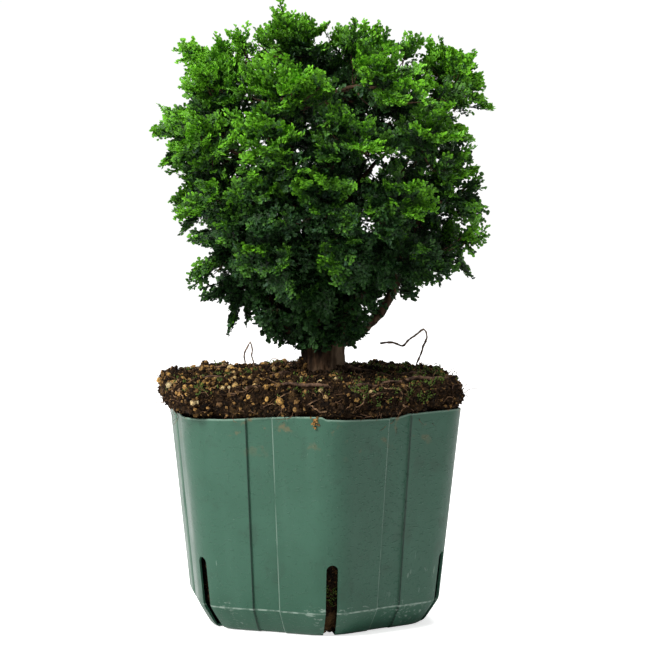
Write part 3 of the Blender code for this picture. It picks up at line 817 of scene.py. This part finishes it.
ROOT_HAIRS = 480
HAIR_LENGTH = (0.004, 0.016)
HAIR_RADIUS = (0.00012, 0.00030)
HAIR_DARK = (0.040, 0.019, 0.010)
HAIR_LIGHT = (0.18, 0.095, 0.045)
MAT_ROOTS = 64
MAT_LENGTH = (0.014, 0.046)
MAT_RADIUS = (0.00030, 0.00062)
MAT_LIFT = 0.0005
MAT_TURN = 0.42
MAT_DARK = (0.050, 0.025, 0.012)
MAT_LIGHT = (0.24, 0.140, 0.070)
TUBE_TAPER = 0.35


def tubes(name, line, radii, sides=3):
    """Thin tapering tubes in one mesh, one along each line of points."""
    count, steps = len(line), line.shape[1] - 1
    along = unit(np.gradient(line, axis=1))
    side = unit(np.cross(along, (0.13, 0.29, 0.95)))
    other = np.cross(along, side)
    taper = np.linspace(1.0, TUBE_TAPER, steps + 1)
    rings = []
    for turn in np.arange(sides) * math.tau / sides:
        around = side * math.cos(turn) + other * math.sin(turn)
        rings.append(line + around * (radii[:, None] * taper)[:, :, None])
    points = np.stack(rings, axis=2).reshape(-1, 3)
    faces = []
    for step in range(steps):
        for i in range(sides):
            j = (i + 1) % sides
            low, high = step * sides, (step + 1) * sides
            faces.append((low + i, low + j, high + j, high + i))
    faces = np.array(faces)
    joined = faces[None] + (np.arange(count) * (steps + 1) * sides)[:, None, None]
    return mesh_object(name, points, joined.reshape(-1, 4))


def wandering(starts, headings, lengths, rng, steps=6, wander=0.55):
    """A line of points from each start, mostly level, that turns a little at every step."""
    place, course = starts.copy(), unit(headings)
    line = [place.copy()]
    for _ in range(steps):
        course = unit(course + rng.normal(scale=wander, size=place.shape) * (1, 1, 0.45))
        place = place + course * (lengths / steps)[:, None]
        line.append(place.copy())
    return np.stack(line, axis=1)


def root_finish(name, dark, light):
    bark = Finish(name, 0.75, 0.25)
    bark.colour(bark.blend(bark.patches(260, 0.38, 0.64, 5, (1, 1, 1.6)), dark, light))
    bark.bump(bark.patches(900, 0.2, 0.8, 5), 0.0003)
    return bark.material


def hair_ground(middles):
    """Fine roots show wherever the peat stands proud, and most on its sides."""
    return (middles[:, 2] > PROUD_FROM) * (1 + 2.0 * (middles[:, 2] < 0.131))


spots, normals = scatter(peat.data, ROOT_HAIRS, rng, hair_ground)
sideways = unit(np.cross(normals, rng.normal(size=(ROOT_HAIRS, 3))))
course = sideways + normals * rng.uniform(-0.25, 0.18, (ROOT_HAIRS, 1))
lengths = rng.uniform(*HAIR_LENGTH, ROOT_HAIRS)
radii = rng.uniform(*HAIR_RADIUS, ROOT_HAIRS)
hairs = tubes("root_hairs", wandering(spots + normals * 0.0006, course, lengths, rng), radii)
hairs.data.materials.append(root_finish("root_hair_skin", HAIR_DARK, HAIR_LIGHT))
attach(hairs, "root")


def hugging(tree, starts, headings, lengths, rng, steps=14):
    """A line of points from each start that winds over the surface in tree."""
    lines = []
    for start, way, length in zip(starts, headings, lengths):
        place, way = Vector(start), Vector(way).normalized()
        line = []
        for _ in range(steps + 1):
            spot, normal, _, _ = tree.find_nearest(place)
            line.append(tuple(spot + normal * MAT_LIFT))
            way = way + Vector(rng.normal(scale=MAT_TURN, size=3))
            way = (way - normal * way.dot(normal)).normalized()
            place = spot + way * (length / steps)
        lines.append(line)
    return np.array(lines)


points, corners = triangles_of(peat.data)
peat_tree = BVHTree.FromPolygons(points.tolist(), corners.tolist())
spots, normals = scatter(peat.data, MAT_ROOTS, rng, lambda m: m[:, 2] > PROUD_FROM + 0.003)
sideways = unit(np.cross(normals, rng.normal(size=(MAT_ROOTS, 3)) + (0, 0, 1.5)))
lines = hugging(peat_tree, spots, sideways, rng.uniform(*MAT_LENGTH, MAT_ROOTS), rng)
mat_roots = tubes("mat_roots", lines, rng.uniform(*MAT_RADIUS, MAT_ROOTS), 5)
mat_roots.data.materials.append(root_finish("mat_root_skin", MAT_DARK, MAT_LIGHT))
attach(mat_roots, "root")

# Moss: low tufts of soft green that grow on the damp peat, most on the right of the root ball's top, with
# a little in the front drain slot.

MOSS_TUFTS = 420
MOSS_BLADES = 8
BLADE_WIDTH = 0.00045
BLADE_HEIGHT = (0.0008, 0.0018)
MOSS_FOOT = (0.014, 0.024, 0.005)
MOSS_TIP = (0.120, 0.190, 0.022)
MOSS_OLIVE = (0.062, 0.100, 0.020)


def moss_finish():
    moss = Finish("moss", 0.8, 0.2)
    green = moss.blend(moss.attribute("tip"), MOSS_FOOT, MOSS_TIP)
    moss.colour(moss.blend(moss.patches(120, 0.45, 0.62), green, MOSS_OLIVE, 0.6))
    return moss.material


def moss_ground(middles):
    """Where moss grows: mostly the right half of the top, patches elsewhere, and in the front slot."""
    x, y, z = middles.T
    cloud = fbm(middles, 60, 2)
    right = np.clip((x - 0.005) / 0.05, 0, 1)
    front_slot = behind_slots(middles) & (y < -0.045) & (np.abs(x - 0.008) < 0.006)
    front_slot &= (z > 0.018) & (z < 0.028)
    return (z > 0.124) * np.clip(cloud * 2.2 + right * 0.9 - 0.35, 0, 1) + 2.0 * front_slot


spots, normals = scatter(peat.data, MOSS_TUFTS, rng, moss_ground)
count = MOSS_TUFTS * MOSS_BLADES
spots = np.repeat(spots, MOSS_BLADES, axis=0) + rng.normal(scale=0.0009, size=(count, 3))
leaning = rng.normal(scale=0.45, size=(count, 3))
upright = unit(np.repeat(normals, MOSS_BLADES, axis=0) + (0, 0, 0.6) + leaning)
side = unit(np.cross(upright, rng.normal(size=(count, 3))))
frames = np.stack([side, np.cross(upright, side), upright], axis=2)
blade = np.array([(1, 0, 0), (-0.5, 0.87, 0), (-0.5, -0.87, 0), (0, 0, 1.0)])
blade_faces = np.array([(0, 1, 3), (1, 2, 3), (2, 0, 3)])
widths = np.full(count, BLADE_WIDTH)
scales = np.stack([widths, widths, rng.uniform(*BLADE_HEIGHT, count)], axis=1)
moss = strewn("moss_tufts", blade, blade_faces, spots, frames, scales, rng)
float_attribute(moss, "tip", np.tile((0, 0, 0, 1), count))
moss.data.materials.append(moss_finish())
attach(moss, "root")

# Surface roots: old roots that were bared when the pot's rim was cut, reddish brown, wandering over the
# top of the root ball.

ROOT_GRAIN = 0.00055
ROOT_WRINKLES = 0.00034
ROOT_SWAY = 0.0028
SWAY_SEED = 29
ROOT_DARK = (0.030, 0.016, 0.010)
ROOT_LIGHT = (0.150, 0.085, 0.052)


def sway(piece, scale, reach):
    """Bends a piece this way and that, by up to about reach, and the same way on each run."""
    noise.seed_set(SWAY_SEED)
    points, _ = triangles_of(piece.data)
    moved = [p + np.array(noise.noise_vector(Vector(p) * scale)) * reach for p in points]
    piece.data.vertices.foreach_set("co", np.array(moved, dtype=np.float32).ravel())
    piece.data.update()


def wood_skin(node, name, finish, grain, relief):
    """A finer copy of one of the wooden solids, with relief along its grain."""
    piece = refined(node, name, grain)
    roughen(piece, relief)
    piece.data.materials.append(finish)
    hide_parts(node)
    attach(piece, "root")
    return piece


def nodes_named(start):
    return sorted(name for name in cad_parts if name.startswith(start) and name != "root_ball")


def root_relief(points):
    return fbm(points, 420, 2) * ROOT_WRINKLES


root_skin = root_finish("surface_root_skin", ROOT_DARK, ROOT_LIGHT)
for node in nodes_named("root_"):
    root = wood_skin(node, f"surface_{node}", root_skin, ROOT_GRAIN, root_relief)
    sway(root, 75, ROOT_SWAY)

# Dry stems: the wiry leftovers of weeds, straw brown and hardly thicker than wire. Their feet stand in the
# root ball, one looped stem on the left and one bent over on the right.

STEM_GRAIN = 0.00022
STEM_WRINKLES = 0.00022
STEM_SWAY = 0.0013
STEM_DARK = (0.085, 0.052, 0.032)
STEM_LIGHT = (0.26, 0.18, 0.12)


def stem_relief(points):
    return fbm(points, 500, 2) * STEM_WRINKLES


dry_skin = root_finish("dry_stem_skin", STEM_DARK, STEM_LIGHT)
for node in nodes_named("dead_stem"):
    stem = wood_skin(node, f"dry_{node}", dry_skin, STEM_GRAIN, stem_relief)
    sway(stem, 130, STEM_SWAY)

# Trunk and limbs: several stems grown into one butt at the soil, with thin fibrous bark that peels in
# strips up the grain, redder on the young limbs inside the crown.

BARK_GRAIN = 0.0011
RIDGE_HEIGHT = 0.0009
KNOT_HEIGHT = 0.0008
BARK_DARK = (0.012, 0.0070, 0.0042)
BARK_BROWN = (0.074, 0.042, 0.023)
BARK_GREY = (0.110, 0.075, 0.047)
BARK_YOUNG = (0.044, 0.026, 0.015)
SMOOTH_DARK = (0.085, 0.055, 0.034)
SMOOTH_LIGHT = (0.230, 0.165, 0.110)


def bark_relief(points):
    """Ridges along the grain, deepest on the old butt."""
    ridges = fbm(points * (1, 1, 0.22), 420, 3)
    knots = fbm(points, 110, 2)
    old = np.clip((0.175 - points[:, 2]) / 0.03, 0.12, 1)
    return old * (ridges * RIDGE_HEIGHT + knots * KNOT_HEIGHT)


def bark_finish():
    """Fibrous brown bark, younger up in the crown, and smooth and pale on the stem at the right."""
    bark = Finish("fibrous_bark", 0.88, 0.12)
    z = bark.place("Z")
    fibres = bark.patches(360, 0.36, 0.66, 6, (1, 1, 0.14))
    brown = bark.blend(fibres, BARK_DARK, BARK_BROWN)
    brown = bark.blend(bark.patches(90, 0.5, 0.66), brown, BARK_GREY, 0.35)
    brown = bark.blend(bark.range(z, 0.160, 0.200), brown, BARK_YOUNG, 0.6)
    right = bark.range(bark.place("X"), 0.0092, 0.0118)
    pale_stem = bark.product(right, bark.range(z, 0.165, 0.150))
    smooth = bark.blend(fibres, SMOOTH_DARK, SMOOTH_LIGHT)
    bark.colour(bark.blend(pale_stem, brown, smooth, 0.8))
    bark.bump(fibres, 0.0006)
    return bark.material


wood_skin("trunk_and_limbs", "trunk_bark", bark_finish(), BARK_GRAIN, bark_relief)

# Foliage: flat fans of scale leaves with blunt, rounded tips, each fan a few fingers of leaf-covered
# branchlets, lime green where it grows and blue-green inside the crown, with painted light and shade over
# both, from bright at the top and outside to almost black deep in the crown.

SPRAY_COUNT = 13000
SPRAY_KINDS = 8
SPRAY_LENGTH_MM = (6.6, 8.6)
SPRAY_REACH = 0.0055
LOBE_LENGTH_MM = (1.9, 2.5)
LOBE_WIDTH_MM = (1.6, 2.1)
LOBE_STEP = 0.78
FINGER_SHARES = (0.20, 0.40, 0.60, 0.78)
CUP_ALONG = 0.18
LEAST_SPRAYS = 40
CLUMPS_A_BOUGH = 13
ROUND_REACH = 0.021
CROWN_HEART = np.array((0.0066, 0.0, 0.245))
CROWN_REACH = np.array((0.094, 0.084, 0.092))
# Painted shade and painted light colours of old and young leaves, mixed by the light attribute.
LEAF_OLD_SHADE = (0.0026, 0.0078, 0.0038)
LEAF_OLD_LIT = (0.012, 0.066, 0.009)
LEAF_YOUNG_SHADE = (0.011, 0.050, 0.009)
LEAF_YOUNG_LIT = (0.185, 0.540, 0.013)
LEAF_MOTTLE = (0.055, 0.170, 0.012)
LEAF_BLOOM = (0.045, 0.105, 0.070)


def spray_lobes(rng):
    """The scale-leaf lobes of one flat spray in millimetres: base, heading in the plane, length, width and
    freshness. Side fingers leave a middle one in turn, left and right."""
    lobes = []
    full = rng.uniform(*SPRAY_LENGTH_MM)

    def finger(base, turn, length, fresh_from):
        here = np.array(base, dtype=float)
        done = 0.0
        bend = rng.uniform(-0.10, 0.10)
        while done < length - 0.8:
            piece = rng.uniform(*LOBE_LENGTH_MM)
            width = rng.uniform(*LOBE_WIDTH_MM) * (0.85 + 0.3 * done / length)
            fresh_and_shade = fresh_from + (1 - fresh_from) * min(1.0, (done + piece) / length)
            lobes.append((here.copy(), turn, piece, width, fresh_and_shade))
            here += np.array((math.sin(turn), math.cos(turn))) * piece * LOBE_STEP
            done += piece * LOBE_STEP
            turn += bend

    finger((0, 0), 0.0, full, 0.0)
    side = 1 if rng.random() < 0.5 else -1
    for share in FINGER_SHARES:
        reach = full * (0.52 - 0.32 * share) * rng.uniform(0.85, 1.15)
        finger((0, full * share), side * rng.uniform(0.65, 1.05), reach, share * 0.7)
        side = -side
    return lobes


def spray_shape(rng):
    """Points, faces and freshness of one spray, with painted shade darker at each lobe's base and a painted
    brightness of each lobe's own: each leaf lobe is blunt and arched across.
    """
    points, faces, fresh_and_shade = [], [], []
    cup = rng.uniform(0.010, 0.045)
    for base, turn, length, width, age_and_shade in spray_lobes(rng):
        along = np.array((math.sin(turn), math.cos(turn)))
        across = np.array((along[1], -along[0]))
        lift, tilt, nod = rng.uniform((-0.55, -0.45, -0.35), (0.55, 0.45, 0.65))
        # Painted light: a random brightness of each lobe's own.
        age_and_shade += rng.uniform(-0.14, 0.14)
        # Painted shade: each lobe is darker at its base, where the lobes crowd, and lighter at its tip.
        flat = [
            (base, 0.1, age_and_shade - 0.50),
            (base + along * length * 0.52 + across * width / 2, tilt - 0.3, age_and_shade - 0.08),
            (base + along * length * 0.96 + across * width * 0.27, nod, age_and_shade + 0.18),
            (base + along * length * 0.96 - across * width * 0.27, nod, age_and_shade + 0.18),
            (base + along * length * 0.52 - across * width / 2, -tilt - 0.3, age_and_shade - 0.08),
        ]
        first = len(points)
        for (x, y), rise, value in flat:
            points.append((x, y, rise + lift - cup * (x * x - CUP_ALONG * y * y)))
            fresh_and_shade.append(value)
        corners = ((0, 1, 2), (0, 2, 3), (0, 3, 4))
        faces += [[first + i for i in corner] for corner in corners]
    return np.array(points) * 0.001, np.array(faces), np.clip(fresh_and_shade, 0, 1)


def leaf_finish():
    """Young leaves are lime and old ones dark, each with painted light and shade from the light attribute,
    and a few carry a blue-grey bloom.
    """
    leaf = Finish("scale_leaves", 0.42, 0.30)
    light = leaf.attribute("light")
    old = leaf.blend(leaf.range(light, 0.12, 0.72), LEAF_OLD_SHADE, LEAF_OLD_LIT)
    young = leaf.blend(leaf.range(light, 0.18, 0.84), LEAF_YOUNG_SHADE, LEAF_YOUNG_LIT)
    green = leaf.blend(leaf.range(leaf.attribute("fresh_and_shade"), 0.25, 1.0), old, young)
    green = leaf.blend(leaf.patches(900, 0.42, 0.62, 3), green, LEAF_MOTTLE, 0.20)
    green = leaf.blend(leaf.patches(210, 0.60, 0.68, 3), green, LEAF_BLOOM, 0.45)
    leaf.colour(green)
    leaf.bump(leaf.patches(1700, 0.3, 0.7, 2), 0.00025)
    return leaf.material


def crown_out(points):
    """The way out of the crown at each point."""
    return unit((points - CROWN_HEART) / CROWN_REACH)


def crown_share(points):
    """0 at the heart of the crown, 1 at its outer skin."""
    return np.linalg.norm((points - CROWN_HEART) / CROWN_REACH, axis=1)


def grow_sprays(name, spots, growth, facing, sizes, light, kinds, rng):
    """One mesh of sprays. Each has its root at its spot, grows along growth and turns its face to facing."""
    growth = unit(growth)
    side = unit(np.cross(growth, facing))
    frames = np.stack([side, growth, np.cross(side, growth)], axis=2)
    which = rng.integers(len(kinds), size=len(spots))
    all_points, all_faces, all_fresh_and_shade, all_light = [], [], [], []
    start = 0
    for number, (shape, faces, fresh_and_shade) in enumerate(kinds):
        mine = which == number
        amount = int(mine.sum())
        placed = np.einsum("nij,kj->nki", frames[mine], shape) * sizes[mine][:, None, None]
        all_points.append((placed + spots[mine][:, None, :]).reshape(-1, 3))
        step = (np.arange(amount) * len(shape))[:, None, None] + start
        all_faces.append((faces[None] + step).reshape(-1, 3))
        all_fresh_and_shade.append(np.tile(fresh_and_shade, amount))
        all_light.append(np.repeat(light[mine], len(shape)))
        start += amount * len(shape)
    piece = mesh_object(name, np.concatenate(all_points), np.concatenate(all_faces))
    float_attribute(piece, "fresh_and_shade", np.concatenate(all_fresh_and_shade))
    float_attribute(piece, "light", np.concatenate(all_light))
    return piece


def face_area(mesh):
    points, corners = triangles_of(mesh)
    a, b, c = (points[corners[:, i]] for i in range(3))
    return float(np.linalg.norm(np.cross(b - a, c - a), axis=1).sum() / 2)


def drawn_in(spots, middle):
    """Rounds a bough off: the further a spot lies past the bough's usual reach, the more it is drawn in."""
    away = np.linalg.norm(spots - middle, axis=1)
    past = np.maximum(away - ROUND_REACH, 0)
    return middle + (spots - middle) * ((away - 0.22 * past) / away)[:, None]


def clumped(spots, middle, clumps, rng):
    """Gathers a bough's spots into clumps. Returns the spots and the way each one grows from its clump."""
    seeds = spots[rng.choice(len(spots), clumps, replace=False)]
    nearest = np.linalg.norm(spots[:, None] - seeds[None], axis=2).argmin(axis=1)
    seed = seeds[nearest]
    gathered = seed + (spots - seed) * 0.80
    root = seed + (middle - seed) * 0.42
    return gathered, unit(gathered - root)


def painted_light_at(spots, way, rng):
    """Painted light and shade for a spray: most light at the top and the outside of the crown, most shade
    inside it and low down.
    """
    light = 0.05 + 0.78 * (crown_share(spots) - 0.60) / 0.45
    light += 0.20 * crown_out(spots)[:, 2] + 0.16 * way[:, 2]
    light -= 0.35 * np.clip((0.235 - spots[:, 2]) / 0.06, 0, 1)
    light += 0.34 * fbm(spots, 34, 2) + 0.34 * fbm(spots, 95, 2)
    return light + rng.normal(scale=0.16, size=len(spots))


rng = np.random.default_rng(77)
spray_kinds = [spray_shape(rng) for _ in range(SPRAY_KINDS)]
leaf_material = leaf_finish()
bough_nodes = nodes_named("bough_")
areas = {node: face_area(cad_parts[node].data) for node in bough_nodes}
all_area = sum(areas.values())
bough_middles = []
for node in bough_nodes:
    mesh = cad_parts[node].data
    count = max(LEAST_SPRAYS, round(SPRAY_COUNT * areas[node] / all_area))
    spots, normals = scatter(mesh, count, rng, lambda m: np.clip(crown_share(m) - 0.25, 0.1, 1))
    middle = triangles_of(mesh)[0].mean(axis=0)
    bough_middles.append(middle)
    spots, way = clumped(drawn_in(spots, middle), middle, CLUMPS_A_BOUGH, rng)
    out = crown_out(spots)
    growth = way + 0.35 * unit(spots - middle) + 0.35 * out + (0, 0, 0.22)
    growth = unit(growth + rng.normal(scale=0.34, size=(count, 3)))
    flip = np.where((normals * out).sum(axis=1) < 0, -1, 1)[:, None]
    facing = normals * flip + 0.35 * out + (0, 0, 0.35) + rng.normal(scale=0.45, size=(count, 3))
    sizes = rng.uniform(0.75, 1.15, count)
    roots = spots - growth * (SPRAY_REACH * sizes)[:, None]
    # Painted light: sprays far from their bough's middle are painted lighter, those near it darker.
    light = painted_light_at(spots, way, rng) + 0.30 * (np.linalg.norm(spots - middle, axis=1) / 0.024 - 0.75)
    light = np.clip(light, 0, 1)
    sprays = grow_sprays(f"sprays_{node}", roots, growth, facing, sizes, light, spray_kinds, rng)
    sprays.data.materials.append(leaf_material)
    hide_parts(node)
    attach(sprays, "root")

# Twigs and shaded sprays: fine reddish twigs that leave the limbs between the boughs, each with a clump of
# sprays at its end, those between the boughs painted darker as shade. They close the gaps that the lit boughs
# leave, and a few stand out as small tufts on the crown's outline.

TWIG_COUNT = 360
TWIG_RADIUS = (0.0004, 0.0008)
TWIG_SAG = 0.004
TWIG_DARK = (0.030, 0.016, 0.009)
TWIG_LIGHT = (0.110, 0.060, 0.034)
TWIGS_FROM = 0.160
NEIGHBOURS = 0.056
SPRAYS_A_TWIG = 14
LEAFY_SHARE = 0.40
TUFT_SPREAD = 0.0030
TUFT_TWIGS = 2
TIP_TUFTS = (
    (-0.071, -0.020, 0.3110), (-0.066, 0.012, 0.3060), (-0.052, -0.012, 0.3180), (-0.042, 0.014, 0.3200),
    (-0.030, -0.018, 0.3240), (-0.018, 0.010, 0.3260), (-0.011, -0.010, 0.3290), (0.012, 0.006, 0.3220),
    (0.026, -0.014, 0.3200), (0.058, -0.010, 0.3140), (0.064, 0.016, 0.3110), (0.083, -0.014, 0.3060),
    (0.084, -0.018, 0.2520), (0.089, -0.010, 0.2360), (0.088, 0.014, 0.2180), (0.090, -0.012, 0.2100),
    (0.067, -0.018, 0.1930), (-0.060, -0.016, 0.1840), (-0.028, -0.016, 0.1660), (-0.062, -0.040, 0.2960),
    (0.060, -0.044, 0.2920), (0.000, -0.060, 0.2920), (-0.030, 0.040, 0.3100), (0.034, 0.044, 0.3080),
)


def gaps_between(middles, count, rng):
    """Spots between neighbouring boughs, from a little nearer the heart of the crown to a little past."""
    middles = np.array(middles)
    near = np.linalg.norm(middles[:, None] - middles[None], axis=2) < NEIGHBOURS
    first, second = np.nonzero(np.triu(near, 1))
    pair = rng.integers(len(first), size=count)
    share = rng.uniform(0.25, 0.75, (count, 1))
    spots = middles[first[pair]] * (1 - share) + middles[second[pair]] * share
    spots = CROWN_HEART + (spots - CROWN_HEART) * rng.uniform(0.80, 1.14, (count, 1))
    return spots + rng.normal(scale=0.004, size=(count, 3))


limb_points = triangles_of(limb_mesh)[0]
limb_points = limb_points[limb_points[:, 2] > TWIGS_FROM]
tufts = np.repeat(TIP_TUFTS, TUFT_TWIGS, axis=0)
tufts -= unit(tufts - CROWN_HEART) * SPRAY_REACH
tufts += rng.normal(scale=TUFT_SPREAD, size=tufts.shape)
ends = np.concatenate([gaps_between(bough_middles, TWIG_COUNT - len(tufts), rng), tufts])
nearest = np.linalg.norm(ends[:, None] - limb_points[None], axis=2).argmin(axis=1)
feet = limb_points[nearest]
shares = np.linspace(0, 1, 6)[None, :, None]
lines = feet[:, None] * (1 - shares) + ends[:, None] * shares
sag = (0, 0, -TWIG_SAG) * (shares * (1 - shares) * 4)
lines += sag + rng.normal(scale=0.0007, size=lines.shape) * shares
twigs = tubes("crown_twigs", lines, rng.uniform(*TWIG_RADIUS, TWIG_COUNT))
twigs.data.materials.append(root_finish("twig_skin", TWIG_DARK, TWIG_LIGHT))
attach(twigs, "root")

count = TWIG_COUNT * SPRAYS_A_TWIG
back = LEAFY_SHARE * rng.random((count, 1)) ** 1.6
starts = np.repeat(ends, SPRAYS_A_TWIG, axis=0) + np.repeat(feet - ends, SPRAYS_A_TWIG, axis=0) * back
out = crown_out(starts)
growth = unit(out * 0.9 + rng.normal(scale=0.55, size=(count, 3)) + (0, 0, 0.15))
facing = out * 0.5 + (0, 0, 0.4) + rng.normal(scale=0.6, size=(count, 3))
spots = starts + growth * rng.uniform(-0.001, 0.006, (count, 1))
at_tip = np.repeat(np.arange(TWIG_COUNT) >= TWIG_COUNT - len(tufts), SPRAYS_A_TWIG)
# Painted shade: sprays between the boughs are painted darker than the tufts on the crown's outline.
light = np.clip(painted_light_at(spots, growth, rng) - np.where(at_tip, 0.0, 0.12), 0, 1)
sizes = rng.uniform(0.85, 1.25, count)
shaded = grow_sprays("shaded_sprays", spots, growth, facing, sizes, light, spray_kinds, rng)
shaded.data.materials.append(leaf_material)
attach(shaded, "root")

# Inner sprays: the oldest and darkest leaves, on short shoots that leave the limbs themselves, painted in
# deep shade. They close the crown round the trunk, low down, where little light comes in.

INNER_SPRAYS = 2900
INNER_SIZE = (1.0, 1.5)
INNER_PAINTED_LIGHT = (0.0, 0.22)


def leafy_limbs(middles):
    """Thickest low down, where the crown closes round the trunk, and none on the bare limb at the right."""
    bare = (middles[:, 0] > 0.026) & (middles[:, 2] < 0.184)
    return (middles[:, 2] > 0.157) * (1 + 3.0 * (middles[:, 2] < 0.205)) * ~bare


spots, normals = scatter(limb_mesh, INNER_SPRAYS, rng, leafy_limbs)
growth = unit(normals + unit(spots - CROWN_HEART) * 0.7 + rng.normal(scale=0.3, size=(INNER_SPRAYS, 3)))
facing = rng.normal(size=(INNER_SPRAYS, 3)) + (0, 0, 0.6)
sizes = rng.uniform(*INNER_SIZE, INNER_SPRAYS)
# Painted shade: the inner sprays get only a little painted light.
light = rng.uniform(*INNER_PAINTED_LIGHT, INNER_SPRAYS)
inner = grow_sprays("inner_sprays", spots, growth, facing, sizes, light, spray_kinds, rng)
inner.data.materials.append(leaf_material)
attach(inner, "root")
